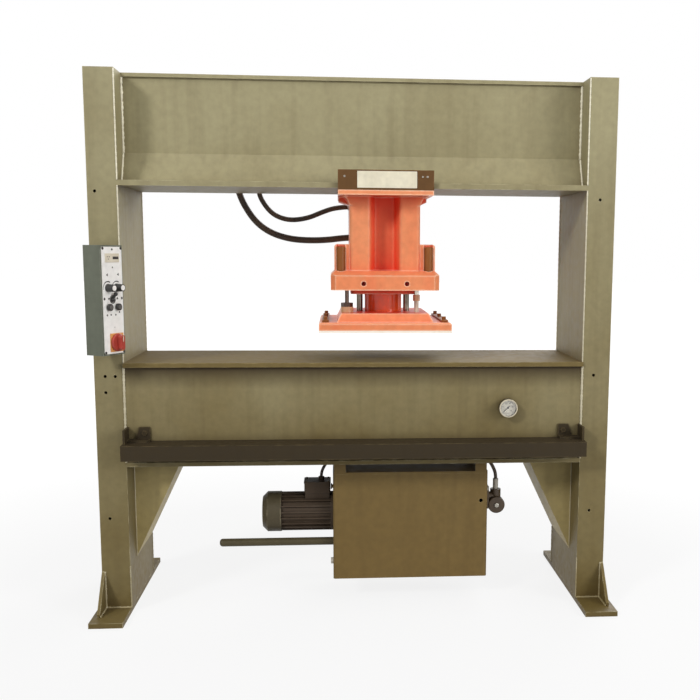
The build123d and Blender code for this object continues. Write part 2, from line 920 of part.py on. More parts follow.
with BuildPart() as motor_fan:
    with BuildSketch(motor_plane.offset(fan_seat)):
        Circle(fan_hub_radius)
        with PolarLocations((fan_radius + fan_hub_radius) / 2 - fan_blade, fan_blades):
            Rectangle(fan_radius - fan_hub_radius + 2 * fan_blade, fan_blade)
        Circle(shaft_radius, mode=Mode.SUBTRACT)
    extrude(amount=fan_width)
save(motor_fan.part, "motor_fan")

terminal_x = tank_left - motor_flange_thick - terminal_inset - terminal_width / 2
terminal_bottom = motor_z + barrel_radius + fin_height + terminal_pad
terminal_top = motor_cable_route[0][1]
with BuildPart() as terminal_box:
    with BuildSketch(Plane.XY.offset(terminal_bottom)):
        with Locations((terminal_x, motor_y)):
            RectangleRounded(terminal_width, terminal_depth, terminal_lid)
    extrude(amount=terminal_height - terminal_lid)
    lid_width = terminal_width + terminal_lid_edge
    lid_depth = terminal_depth + terminal_lid_edge
    with BuildSketch(Plane.XY.offset(terminal_bottom + terminal_height - terminal_lid)):
        with Locations((terminal_x, motor_y)):
            RectangleRounded(lid_width, lid_depth, terminal_lid)
    extrude(amount=terminal_lid)
    with BuildSketch(Plane.XY.offset(terminal_bottom + terminal_height)):
        with Locations((motor_cable_route[0][0], motor_y)):
            RegularPolygon(2 * motor_cable_radius, 6)
    extrude(amount=terminal_top - terminal_bottom - terminal_height)
save(terminal_box.part, "terminal_box")

with BuildPart() as pump:
    with BuildSketch(pump_plane.offset(tank_wall)):
        Circle(pump_radius)
    extrude(amount=pump_length)
    with BuildSketch(pump_plane.offset(tank_wall)):
        Circle(shaft_radius + running_gap)
    extrude(amount=pump_socket, mode=Mode.SUBTRACT)
save(pump.part, "pump")

# Cooler pipe out of the tank's left wall
with BuildPart() as cooler_pipe:
    with BuildSketch(Plane(origin=(tank_left, cooler_y, cooler_z), x_dir=(0, 1, 0), z_dir=(-1, 0, 0))):
        Circle(cooler_radius)
    extrude(amount=cooler_length)
    fillet(cooler_pipe.edges().sort_by(Axis.X)[0], radius=cooler_round)
save(cooler_pipe.part, "cooler_pipe")

# Outlet fitting on the tank's right wall: pad, neck, valve body, front cap and hose ferrule
tank_right = tank_left + tank_width
with BuildPart() as outlet_fitting:
    with BuildSketch(Plane.XZ.offset(-outlet_y)):
        with Locations((tank_right + outlet_x, outlet_z - outlet_cap_drop)):
            Circle(outlet_cap_radius)
    extrude(amount=outlet_cap_length)
    fillet(outlet_fitting.faces().sort_by(Axis.Y)[0].edges(), radius=outlet_cap_length / 8)
    with BuildSketch(Plane(origin=(tank_right, outlet_y, outlet_z), x_dir=(0, 1, 0), z_dir=(1, 0, 0))):
        RectangleRounded(outlet_pad_width, outlet_pad_height, outlet_pad_thick / 2)
    extrude(amount=outlet_pad_thick)
    with BuildSketch(Plane(origin=(tank_right, outlet_y, outlet_z), x_dir=(0, 1, 0), z_dir=(1, 0, 0))):
        Circle(outlet_neck_radius)
    extrude(amount=outlet_x)
    with BuildSketch(Plane.XY.offset(outlet_z - outlet_body_height / 2)):
        with Locations((tank_right + outlet_x, outlet_y)):
            Circle(outlet_body_radius)
    extrude(amount=outlet_body_height)
    with BuildSketch(Plane.XY.offset(outlet_z + outlet_body_height / 2)):
        with Locations((tank_right + outlet_x, outlet_y)):
            Circle(ferrule_radius)
    extrude(amount=ferrule_length)
save(outlet_fitting.part, "outlet_fitting")

# Trolley: front and rear bars that carry the rollers on the rail plate's ledges
with BuildPart() as trolley_bars:
    for side in sides:
        with BuildSketch(Plane.XZ.offset(-side * bar_inner)):
            with Locations((head_rest, trolley_top + bar_height / 2)):
                Rectangle(trolley_width, bar_height)
        extrude(amount=-side * trolley_plate)
        for x in roller_places:
            driven = side > 0 and x > head_rest
            with BuildSketch(Plane.XZ.offset(-side * bar_inner)):
                with Locations((x, roller_z)):
                    Circle(drive_shaft_radius + free_gap if driven else axle_radius)
            seat_depth = trolley_plate if driven else trolley_plate - axle_cover
            extrude(amount=-side * seat_depth, mode=Mode.SUBTRACT)
save(trolley_bars.part, "trolley_bars")

# Axles of the three idle rollers, each with a retaining head inside
with BuildPart() as roller_axles:
    for side, x in ((-1, roller_places[0]), (-1, roller_places[1]), (1, roller_places[0])):
        axle_end = bar_outer - axle_cover
        with BuildSketch(Plane.XZ.offset(-side * axle_end)):
            with Locations((x, roller_z)):
                Circle(axle_radius)
        extrude(amount=side * (axle_end - roller_inner + axle_play))
        with BuildSketch(Plane.XZ.offset(-side * (roller_inner - axle_play))):
            with Locations((x, roller_z)):
                Circle(axle_head_radius)
        extrude(amount=side * axle_head)
save(roller_axles.part, "roller_axles")

# Rollers: grooved rims; the rear right one is keyed to the drive's shaft
for name, side, x in (
    ("roller_front_left", -1, roller_places[0]),
    ("roller_front_right", -1, roller_places[1]),
    ("roller_rear_left", 1, roller_places[0]),
    ("roller_rear_right", 1, roller_places[1]),
):
    driven = name == "roller_rear_right"
    with BuildPart() as roller:
        with BuildSketch(Plane.XZ.offset(-side * roller_inner)):
            with Locations((x, roller_z)):
                Circle(roller_radius)
                if not driven:
                    Circle(axle_radius + running_gap, mode=Mode.SUBTRACT)
        extrude(amount=-side * roller_width)
        rims = roller.edges().filter_by(GeomType.CIRCLE).filter_by(lambda e: e.radius == roller_radius)
        chamfer(rims, length=roller_groove)
        if driven:
            with BuildSketch(Plane.XZ.offset(-side * roller_outer)):
                with Locations((x, roller_z)):
                    Circle(drive_shaft_radius)
            extrude(amount=-side * (bar_outer - roller_outer + drive_shaft_depth))
    save(roller.part, name)

# Traverse drive: gearbox on the rear bar's outer face with its motor behind
with BuildPart() as traverse_drive:
    drive_plane = Plane.XZ.offset(-bar_outer)
    drive_place = (roller_places[1], roller_z)
    with BuildSketch(drive_plane):
        with Locations(drive_place):
            RectangleRounded(gearbox_side, gearbox_side, gearbox_side / 8)
    extrude(amount=-gearbox_depth)
    with BuildSketch(drive_plane.offset(-gearbox_depth)):
        with Locations(drive_place):
            Circle(drive_motor_radius)
    extrude(amount=-drive_motor_length)
    fillet(traverse_drive.edges().sort_by(Axis.Y)[-1], radius=drive_motor_radius / 6)
    with BuildSketch(drive_plane):
        with Locations(drive_place):
            Circle(drive_shaft_radius + running_gap)
    extrude(amount=-drive_shaft_depth - free_gap, mode=Mode.SUBTRACT)
save(traverse_drive.part, "traverse_drive")

# Head casting: top plate, ribbed body with a front recess, side pockets and the lower block
with BuildPart() as head_body:
    block_shoulder = block_height - block_edge
    for start, height, lean in ((0, block_shoulder, 0), (block_shoulder, block_edge, 45)):
        with BuildSketch(Plane.XY.offset(block_bottom + start)):
            with Locations((head_rest, 0)):
                Rectangle(block_width, block_depth)
            chamfer(vertices(), length=block_chamfer)
        extrude(amount=height, taper=lean)
    slope_run = (block_depth - body_depth) / 2
    with BuildSketch(Plane.YZ.offset(head_rest)):
        with BuildLine():
            Polyline(
                (-body_depth / 2, block_top),
                (-body_depth / 2 - 2 * slope_run, block_top - 2 * block_slope),
                (-body_depth / 2 - 2 * slope_run, block_top + overrun),
                (-body_depth / 2, block_top + overrun),
                close=True,
            )
        make_face()
    extrude(amount=block_width, both=True, mode=Mode.SUBTRACT)
    with BuildSketch(Plane.XY.offset(block_top)):
        with BuildLine():
            half = Polyline(
                (head_rest, body_depth / 2),
                (head_rest + body_width / 2, body_depth / 2),
                (head_rest + body_width / 2, -body_depth / 2),
                (head_rest + recess_mouth / 2, -body_depth / 2),
                (head_rest + recess_floor / 2, -body_depth / 2 + recess_depth),
                (head_rest, -body_depth / 2 + recess_depth),
            )
            mirror(half, about=Plane.YZ.offset(head_rest))
        make_face()
        corners = vertices().filter_by(lambda v: abs(v.X - head_rest) > free_gap)
        floor_corners = corners.filter_by(lambda v: abs(v.X - head_rest) < recess_mouth / 2 - free_gap)
        rim_corners = [v for v in corners if v not in floor_corners]
        fillet(rim_corners, radius=body_round)
        fillet(
            [v for v in vertices() if abs(abs(v.X - head_rest) - recess_floor / 2) < free_gap],
            radius=recess_round,
        )
    extrude(amount=body_height)
    with BuildSketch(Plane.XY.offset(trolley_bottom)):
        with Locations((head_rest, 0)):
            Rectangle(trolley_width, 2 * bar_outer)
    extrude(amount=trolley_plate)
    for side in sides:
        body_side = head_rest + side * body_width / 2
        with BuildSketch(Plane.XZ):
            body_in = body_side - side * body_round
            flare_out = body_side + side * flare_width
            with BuildLine():
                Bezier(
                    (flare_out, trolley_bottom),
                    (body_side + side * flare_share * flare_width,
                     trolley_bottom - flare_share * flare_height),
                    (body_side, trolley_bottom - flare_height),
                )
                Polyline(
                    (body_side, trolley_bottom - flare_height),
                    (body_in, trolley_bottom - flare_height),
                    (body_in, trolley_bottom),
                    (flare_out, trolley_bottom),
                )
            make_face()
        extrude(amount=body_depth / 2, both=True)
        lug_reach = lug_left if side < 0 else lug_right
        with BuildSketch(Plane.XZ.offset(-lug_y)):
            with BuildLine():
                Polyline(
                    (body_side, trolley_bottom),
                    (head_rest + side * lug_reach, trolley_bottom),
                    (head_rest + side * lug_reach, trolley_bottom - lug_height + lug_slope),
                    (body_side, trolley_bottom - lug_height),
                    close=True,
                )
            make_face()
        extrude(amount=lug_depth / 2, both=True)
        with BuildSketch(Plane.XZ.offset(body_depth / 2 - pocket_setback)):
            with BuildLine():
                Polyline(
                    (body_side - side * body_round, block_top),
                    (head_rest + side * pocket_reach, block_top),
                    (head_rest + side * pocket_reach, block_top + pocket_height),
                    (body_side - side * body_round, block_top + pocket_height),
                    close=True,
                )
            make_face()
            top_corners = vertices().group_by(Axis.Y)[-1].sort_by(Axis.X)
            fillet(top_corners[-1 if side > 0 else 0], radius=pocket_round)
        extrude(amount=-pocket_depth)
        with BuildSketch(Plane.XY.offset(sleeve_bottom)):
            with Locations((head_rest + side * sleeve_x, sleeve_y)):
                Circle(sleeve_radius + sleeve_groove)
        extrude(amount=sleeve_seat + pocket_height + overrun, mode=Mode.SUBTRACT)
    with BuildSketch(Plane.XZ.offset(block_depth / 2)):
        with Locations((head_rest, block_bottom + block_hole_rise)):
            with GridLocations(block_hole_pitch, 0, 2, 1):
                Circle(block_hole_radius)
    extrude(amount=-block_hole_depth, mode=Mode.SUBTRACT)
    with BuildSketch(Plane.XY.offset(block_bottom)):
        with Locations((head_rest, 0)):
            Circle(ram_radius + free_gap)
    extrude(amount=ram_top + oil_space - block_bottom, mode=Mode.SUBTRACT)
    for places, radius, top in (
        (rod_places, rod_radius, plate_top + rod_length + rod_space),
        ([return_place], return_radius, plate_top + return_base + return_nut + return_length + rod_top_space),
        ([limit_place], limit_radius, plate_top + limit_length + rod_top_space),
    ):
        with BuildSketch(Plane.XY.offset(block_bottom)):
            with Locations(*places):
                Circle(radius + free_gap)
        extrude(amount=top - block_bottom, mode=Mode.SUBTRACT)
    with BuildSketch(Plane.XZ.offset(-body_depth / 2)):
        with Locations(*union_places):
            Circle(oil_port_radius)
    extrude(amount=body_depth / 6, mode=Mode.SUBTRACT)
save(head_body.part, "head_body")

with BuildPart() as gland_flange:
    with BuildSketch(Plane.XY.offset(gland_bottom)):
        with Locations((head_rest, 0)):
            RectangleRounded(gland_width, gland_depth, gland_round)
            Circle(ram_radius + running_gap, mode=Mode.SUBTRACT)
        with Locations(*rod_places):
            Circle(rod_radius + running_gap, mode=Mode.SUBTRACT)
    extrude(amount=gland_thick)
save(gland_flange.part, "gland_flange")

with BuildPart() as side_sleeves:
    with BuildSketch(Plane.XY.offset(sleeve_bottom)):
        with Locations(*[(head_rest + side * sleeve_x, sleeve_y) for side in sides]):
            Circle(sleeve_radius)
    extrude(amount=sleeve_length)
    fillet(side_sleeves.edges().group_by(Axis.Z)[-1], radius=sleeve_dome)
save(side_sleeves.part, "side_sleeves")

# Press plate: flat plate with a raised, tapered middle, over a cutting pad
with BuildPart() as press_plate:
    with BuildSketch(Plane.XY.offset(plate_bottom)):
        with Locations((head_rest, 0)):
            Rectangle(plate_width, plate_depth)
    extrude(amount=plate_thick)
    chamfer(press_plate.faces().sort_by(Axis.Z)[-1].edges(), length=plate_edge)
    with BuildSketch(Plane.XY.offset(plate_middle)):
        with Locations((head_rest, 0)):
            Rectangle(rise_width, rise_depth)
    extrude(amount=plate_rise, taper=rise_taper)
save(press_plate.part, "press_plate")

with BuildPart() as press_pad:
    with BuildSketch(Plane.XY.offset(pad_bottom)):
        with Locations((head_rest, 0)):
            Rectangle(plate_width, plate_depth)
    extrude(amount=pad_thick)
save(press_pad.part, "press_pad")

with BuildPart() as pad_clips:
    clip_x = plate_width / 2 - plate_edge - clip_inset - clip_width / 2
    with BuildSketch(Plane.XY.offset(plate_middle)):
        with Locations((head_rest, 0)):
            with GridLocations(2 * clip_x, 0, 2, 1):
                Rectangle(clip_width, clip_length)
    extrude(amount=clip_thick)
    with BuildSketch(Plane.XY.offset(plate_middle + clip_thick)):
        with Locations((head_rest, 0)):
            with GridLocations(2 * clip_x, clip_bolt_pitch, 2, 3):
                RegularPolygon(clip_bolt_radius, 6)
    extrude(amount=clip_bolt_height)
save(pad_clips.part, "pad_clips")

# Ram, guide rods, return rod on its base and nut, and limit rod with its stop collar
with BuildPart() as ram:
    with BuildSketch(Plane.XY.offset(plate_top)):
        with Locations((head_rest, 0)):
            Circle(ram_radius)
    extrude(amount=ram_length)
save(ram.part, "ram")

with BuildPart() as guide_rods:
    with BuildSketch(Plane.XY.offset(plate_top)):
        with Locations(*rod_places):
            Circle(rod_radius)
    extrude(amount=rod_length)
    chamfer(guide_rods.edges().group_by(Axis.Z)[-1], length=rod_radius / 6)
save(guide_rods.part, "guide_rods")

with BuildPart() as return_rod:
    with BuildSketch(Plane.XY.offset(plate_top)):
        with Locations(return_place):
            Circle(return_base_radius)
    extrude(amount=return_base)
    with BuildSketch(Plane.XY.offset(plate_top + return_base)):
        with Locations(return_place):
            RegularPolygon(return_nut_radius, 6)
    extrude(amount=return_nut)
    with BuildSketch(Plane.XY.offset(plate_top + return_base + return_nut)):
        with Locations(return_place):
            Circle(return_radius)
    extrude(amount=return_length)
save(return_rod.part, "return_rod")

with BuildPart() as limit_rod:
    with BuildSketch(Plane.XY.offset(plate_top)):
        with Locations(limit_place):
            Circle(limit_radius)
    extrude(amount=limit_length)
    with BuildSketch(Plane.XY.offset(block_bottom - limit_drop)):
        with Locations(limit_place):
            RegularPolygon(limit_collar_radius, 6)
    extrude(amount=-limit_collar)
save(limit_rod.part, "limit_rod")

# Hose ports: pipes out of the beam's rear web, each ending in a hexagon that holds its hose
with BuildPart() as hose_ports:
    for route, radius in hose_sizes:
        with BuildSketch(Plane.XZ.offset(-web_width / 2)):
            with Locations((route[0][0], port_z)):
                Circle(port_flange_radius)
        extrude(amount=-port_flange_thick)
        with BuildSketch(Plane.XZ.offset(-web_width / 2)):
            with Locations((route[0][0], port_z)):
                Circle(port_radius)
        extrude(amount=web_width / 2 - hose_y)
        with BuildSketch(Plane.XY.offset(route[0][1])):
            with Locations((route[0][0], hose_y)):
                RegularPolygon(radius + union_wall, 6)
        extrude(amount=port_z + port_radius + port_flange_thick - route[0][1])
save(hose_ports.part, "hose_ports")

# Hose unions: round posts on the head's rear face with a socket for each hose
with BuildPart() as hose_unions:
    for (route, radius), place in zip(hose_sizes, union_places):
        end = Vector(route[-1][0], hose_y, route[-1][1])
        along = Vector(place[0] - end.X, 0, place[1] - end.Z)
        with BuildSketch(Plane.XZ.offset(-body_depth / 2)):
            with Locations(place):
                Circle(union_radius)
        extrude(amount=body_depth / 2 - hose_y - radius - union_wall)
        with BuildSketch(Plane(origin=end, x_dir=(0, 1, 0), z_dir=along)):
            Circle(radius + union_wall)
        extrude(amount=union_reach)
save(hose_unions.part, "hose_unions")

# Hoses and cables
for name, points, y, radius in (
    ("thick_hose", thick_hose_route, hose_y, thick_hose_radius),
    ("thin_hose", thin_hose_route, hose_y, thin_hose_radius),
    ("motor_cable", motor_cable_route, motor_y, motor_cable_radius),
    ("outlet_hose", outlet_hose_route, outlet_y, outlet_hose_radius),
):
    corners, radii = route_wire(points, y)
    with BuildPart() as cord:
        with BuildLine() as path:
            FilletPolyline(*corners, radius=radii)
        with BuildSketch(Plane(origin=corners[0], x_dir=(0, 1, 0), z_dir=corners[1] - corners[0])):
            Circle(radius)
        sweep()
    report_cord(name, cord.part, path.wire(), radius)
    save(cord.part, name)
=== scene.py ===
import json
from math import cos, pi, radians, sin

import bmesh
import bpy
from mathutils import Matrix, Vector


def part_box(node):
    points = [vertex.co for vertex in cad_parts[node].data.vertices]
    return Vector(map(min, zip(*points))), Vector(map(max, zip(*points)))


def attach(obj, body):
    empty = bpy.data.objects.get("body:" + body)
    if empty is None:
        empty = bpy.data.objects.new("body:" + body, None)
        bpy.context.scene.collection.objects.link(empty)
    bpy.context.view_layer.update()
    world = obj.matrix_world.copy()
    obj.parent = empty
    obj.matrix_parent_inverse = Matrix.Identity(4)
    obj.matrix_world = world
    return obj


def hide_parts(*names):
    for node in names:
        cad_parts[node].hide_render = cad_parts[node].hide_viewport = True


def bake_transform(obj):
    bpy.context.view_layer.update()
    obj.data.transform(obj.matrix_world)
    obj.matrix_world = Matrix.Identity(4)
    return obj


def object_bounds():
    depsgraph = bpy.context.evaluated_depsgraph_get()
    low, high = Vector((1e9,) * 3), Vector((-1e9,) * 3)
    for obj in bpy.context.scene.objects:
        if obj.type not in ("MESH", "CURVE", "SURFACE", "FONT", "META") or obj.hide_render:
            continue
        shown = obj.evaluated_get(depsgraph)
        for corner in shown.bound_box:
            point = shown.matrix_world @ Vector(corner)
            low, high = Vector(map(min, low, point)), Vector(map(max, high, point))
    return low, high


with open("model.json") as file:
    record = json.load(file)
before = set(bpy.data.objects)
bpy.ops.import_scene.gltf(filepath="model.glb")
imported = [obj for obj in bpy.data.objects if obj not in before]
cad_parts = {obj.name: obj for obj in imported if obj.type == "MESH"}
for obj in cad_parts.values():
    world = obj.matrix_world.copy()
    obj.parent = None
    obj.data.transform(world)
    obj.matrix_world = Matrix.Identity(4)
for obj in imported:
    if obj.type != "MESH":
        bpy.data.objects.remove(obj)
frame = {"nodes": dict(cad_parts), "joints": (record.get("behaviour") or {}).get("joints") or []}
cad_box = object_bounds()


# Viewpoint of the photograph
# A camera at chest height, four metres in front of the bed and a little left of the machine's middle,
# turned slightly to the right and down. Its picture is square.
camera_place = Vector((-0.0771, -4.0726, 1.4243))
camera_turn = -0.0838
camera_tilt = 0.1403
camera_lean = -0.0068
focal_share = 1.4174
sensor_width = 36
shift_across = -0.1
shift_up = 0.0571

level_right = Vector((cos(camera_turn), sin(camera_turn), 0))
level_ahead = Vector((-sin(camera_turn), cos(camera_turn), 0))
ahead = level_ahead * cos(camera_tilt) - Vector((0, 0, 1)) * sin(camera_tilt)
upward = level_ahead * sin(camera_tilt) + Vector((0, 0, 1)) * cos(camera_tilt)
camera_right = level_right * cos(camera_lean) - upward * sin(camera_lean)
camera_up = level_right * sin(camera_lean) + upward * cos(camera_lean)

viewpoint = bpy.data.cameras.new("viewpoint")
viewpoint.sensor_width = sensor_width
viewpoint.lens = focal_share * sensor_width
viewpoint.shift_x = shift_across
viewpoint.shift_y = shift_up
camera = bpy.data.objects.new("viewpoint", viewpoint)
camera_axes = Matrix((camera_right, camera_up, -ahead)).transposed().to_4x4()
camera.matrix_world = Matrix.Translation(camera_place) @ camera_axes
bpy.context.scene.collection.objects.link(camera)
bpy.context.scene.camera = camera
bpy.context.scene.view_settings.view_transform = "Standard"


# Studio light
# A lamp high in front on the left, a soft fill on the right, a broad one overhead and a weak one behind. An
# even grey surround and a pale floor look white to the camera, and in gloss and glass.
def supply(tree, socket, source):
    """Feed a socket from another node's output, or with a plain value."""
    if isinstance(source, bpy.types.NodeSocket):
        tree.links.new(source, socket)
    else:
        socket.default_value = source


def shader_node(tree, kind, feeds=None, **options):
    """Add a node, set its options and feed its inputs."""
    made = tree.nodes.new("ShaderNode" + kind)
    for name, value in options.items():
        setattr(made, name, value)
    for key, source in (feeds or {}).items():
        supply(tree, made.inputs[key], source)
    return made


def lamp(name, place, aim, size, power):
    """A square lamp that faces the place it is aimed at."""
    light = bpy.data.lights.new(name, "AREA")
    light.size = size
    light.energy = power
    holder = bpy.data.objects.new(name, light)
    holder.location = place
    holder.rotation_euler = (Vector(aim) - Vector(place)).to_track_quat("-Z", "Y").to_euler()
    bpy.context.scene.collection.objects.link(holder)


lamp("key_lamp", place=(-8.2, -9.2, 7.7), aim=(0, 0, 1.1), size=2.4, power=820)
lamp("fill_lamp", place=(7.5, -6.0, 3.6), aim=(0, 0, 1.1), size=4.0, power=430)
lamp("overhead_lamp", place=(0.3, -1.3, 5.2), aim=(0, -0.2, 1.0), size=2.5, power=45)
lamp("rear_lamp", place=(2.5, 4.5, 4.0), aim=(0, 0, 1.2), size=3.0, power=150)


def seen_directly(tree):
    """1 for what the camera, a reflection or glass sees, 0 for light that falls on the machine."""
    path = shader_node(tree, "LightPath").outputs
    seen = path["Is Camera Ray"]
    for way in ("Is Glossy Ray", "Is Transmission Ray"):
        seen = shader_node(tree, "Math", {0: seen, 1: path[way]}, operation="MAXIMUM").outputs[0]
    return seen


white = (1, 1, 1, 1)
sky_strength = 0.32
surround = bpy.data.worlds.new("surround")
surround.use_nodes = True
tree = surround.node_tree
tree.nodes.clear()
sky = shader_node(tree, "Background", {"Color": white, "Strength": sky_strength})
backdrop = shader_node(tree, "Background", {"Color": white, "Strength": 1.0})
both = shader_node(tree, "MixShader", {0: seen_directly(tree), 1: sky.outputs[0], 2: backdrop.outputs[0]})
shader_node(tree, "OutputWorld", {"Surface": both.outputs[0]})
bpy.context.scene.world = surround

floor_reach = 40
floor_grey = (0.5, 0.5, 0.5, 1)
floor_glow = 1.12
near_white = 0.75
fade_start = 1.5
fade_end = 5.0
bm = bmesh.new()
bmesh.ops.create_grid(bm, x_segments=1, y_segments=1, size=floor_reach)
floor_mesh = bpy.data.meshes.new("floor")
bm.to_mesh(floor_mesh)
bm.free()
floor = bpy.data.objects.new("floor", floor_mesh)
bpy.context.scene.collection.objects.link(floor)
floor_paint = bpy.data.materials.new("pale_floor")
floor_paint.use_nodes = True
tree = floor_paint.node_tree
tree.nodes.clear()
pale = shader_node(tree, "BsdfDiffuse", {"Color": floor_grey})
glow = shader_node(tree, "Emission", {"Color": white, "Strength": floor_glow})
spot = shader_node(tree, "TexCoord").outputs["Object"]
distance = shader_node(tree, "VectorMath", {0: spot}, operation="LENGTH").outputs["Value"]
fade = shader_node(
    tree, "MapRange",
    {"Value": distance, "From Min": fade_start, "From Max": fade_end, "To Min": near_white, "To Max": 1.0},
).outputs[0]
white_share = shader_node(tree, "Math", {0: seen_directly(tree), 1: fade}, operation="MULTIPLY").outputs[0]
floor_both = shader_node(tree, "MixShader", {0: white_share, 1: pale.outputs[0], 2: glow.outputs[0]})
shader_node(tree, "OutputMaterial", {"Surface": floor_both.outputs[0]})
floor_mesh.materials.append(floor_paint)


# Hoses and cables
# Two rubber hydraulic hoses hang behind the beam and run to sockets on the head's rear face; a motor cable
# and a thin outlet hose go up from the tank into the bed. Each is a round tube along its own route.
def colour(red, green, blue):
    """A screen colour of 0 to 255 as the linear colour that a shader takes."""
    shares = [value / 255 for value in (red, green, blue)]
    return (*[s / 12.92 if s <= 0.04045 else ((s + 0.055) / 1.055) ** 2.4 for s in shares], 1.0)


def open_group(name, takes, gives):
    """A shader node group with named inputs and outputs: the group, its inputs and where its results go."""
    group = bpy.data.node_groups.new(name, "ShaderNodeTree")
    for label, kind in takes:
        group.interface.new_socket(name=label, in_out="INPUT", socket_type="NodeSocket" + kind)
    for label, kind in gives:
        group.interface.new_socket(name=label, in_out="OUTPUT", socket_type="NodeSocket" + kind)
    given = group.nodes.new("NodeGroupInput").outputs
    result = group.nodes.new("NodeGroupOutput").inputs
    return group, given, result


def place_group(tree, group, feeds):
    """Put a node group into a material, feed its named inputs and give its outputs."""
    return shader_node(tree, "Group", feeds, node_tree=group).outputs


def mix_colour(tree, share, first, second, how="MIX"):
    """One colour laid over another by a share of 0 to 1."""
    feeds = {0: share, 6: first, 7: second}
    return shader_node(tree, "Mix", feeds, data_type="RGBA", blend_type=how).outputs[2]


def spread(tree, value, low, high, start=0.0, end=1.0):
    """A value stretched from start and end to low and high."""
    return shader_node(
        tree, "MapRange", {"Value": value, "From Min": start, "From Max": end, "To Min": low, "To Max": high}
    ).outputs[0]


def new_material(name):
    """An empty material with its principled shader and output: the material, its tree and the shader."""
    material = bpy.data.materials.new(name)
    material.use_nodes = True
    tree = material.node_tree
    tree.nodes.clear()
    shader = shader_node(tree, "BsdfPrincipled")
    shader_node(tree, "OutputMaterial", {"Surface": shader.outputs[0]})
    return material, tree, shader


def feed(tree, shader, **sources):
    """Feed the shader's inputs; a name's underscores stand for spaces."""
    for name, source in sources.items():
        supply(tree, shader.inputs[name.replace("_", " ")], source)


# Handling and dirt make every finish uneven: broad patches, small mottling and a fine grain.
unevenness, given, result = open_group(
    "unevenness", [("Patch", "Float"), ("Grain", "Float")],
    [("Patches", "Float"), ("Mottle", "Float"), ("Fine", "Float")],
)
where = shader_node(unevenness, "TexCoord").outputs["Object"]
for label, scale, detail in (
    ("Patches", given["Patch"], 4.0), ("Mottle", 38.0, 5.0), ("Fine", given["Grain"], 2.0),
):
    noise = shader_node(unevenness, "TexNoise", {"Vector": where, "Scale": scale, "Detail": detail})
    unevenness.links.new(noise.outputs["Fac"], result[label])

hose_rubber, tree, shader = new_material("hose_rubber")
patchy = place_group(tree, unevenness, {"Patch": 9.0, "Grain": 500.0})
run_and_turn = shader_node(tree, "UVMap", uv_map="along").outputs["UV"]
wound = shader_node(
    tree, "TexWave", {"Vector": run_and_turn, "Scale": 60.0, "Distortion": 0.4},
    wave_type="BANDS", bands_direction="DIAGONAL",
)
faded = spread(tree, patchy["Patches"], 0.0, 1.0, 0.4, 0.65)
rubber = mix_colour(tree, faded, colour(58, 48, 40), colour(92, 74, 58))
relief = shader_node(tree, "Bump", {"Height": wound.outputs["Fac"], "Strength": 0.35, "Distance": 0.0008})
feed(
    tree, shader, Base_Color=rubber, Roughness=spread(tree, patchy["Mottle"], 0.45, 0.7),
    Normal=relief.outputs[0],
)


def smooth_line(points):
    """Points along the smooth line that a cord's route controls."""
    curve = bpy.data.curves.new("route", "CURVE")
    curve.dimensions = "3D"
    spline = curve.splines.new("NURBS")
    spline.points.add(len(points) - 1)
    for point, place in zip(spline.points, points):
        point.co = (*place, 1.0)
    spline.order_u = 3
    spline.use_endpoint_u = True
    holder = bpy.data.objects.new("route", curve)
    mesh = bpy.data.meshes.new_from_object(holder)
    line = [vertex.co.copy() for vertex in mesh.vertices]
    bpy.data.objects.remove(holder)
    bpy.data.meshes.remove(mesh)
    bpy.data.curves.remove(curve)
    return line


def add_piece(name, bm, material, body=None, smooth=True):
    """Turn a bmesh into a piece of the machine, faces outwards, on its body if one is given; the short cords
    go on the frame afterwards.
    """
    bmesh.ops.recalc_face_normals(bm, faces=bm.faces[:])
    mesh = bpy.data.meshes.new(name)
    for face in bm.faces:
        face.smooth = smooth
    bm.to_mesh(mesh)
    bm.free()
    mesh.materials.append(material)
    piece = bpy.data.objects.new(name, mesh)
    bpy.context.scene.collection.objects.link(piece)
    if body:
        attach(piece, body)
    return piece


def hose_tube(name, line, radius, sides=20):
    """A round tube along a line in a plane of constant Y, with its length and turn as UV."""
    bm = bmesh.new()
    along_layer = bm.verts.layers.float.new("along")
    around_layer = bm.verts.layers.float.new("around")
    run = 0.0
    last_ring = None
    for index, place in enumerate(line):
        before, after = line[max(index - 1, 0)], line[min(index + 1, len(line) - 1)]
        heading = (after - before).normalized()
        run += (place - before).length
        side = Vector((0, 1, 0))
        turn = Matrix((side, heading.cross(side), heading)).transposed().to_4x4()
        made = bmesh.ops.create_circle(
            bm, segments=sides, radius=radius, matrix=Matrix.Translation(place) @ turn
        )["verts"]
        for step, vertex in enumerate(made):
            vertex[along_layer] = run
            vertex[around_layer] = step / sides
        ring = list({
            edge for vertex in made for edge in vertex.link_edges if edge.other_vert(vertex) in made
        })
        if last_ring:
            bmesh.ops.bridge_loops(bm, edges=last_ring + ring)
        else:
            bmesh.ops.contextual_create(bm, geom=ring)
        last_ring = ring
    bmesh.ops.contextual_create(bm, geom=last_ring)
    uv_layer = bm.loops.layers.uv.new("along")
    for face in bm.faces:
        for loop in face.loops:
            loop[uv_layer].uv = (loop.vert[along_layer], loop.vert[around_layer] * 2 * pi * radius)
    return add_piece(name, bm, hose_rubber)


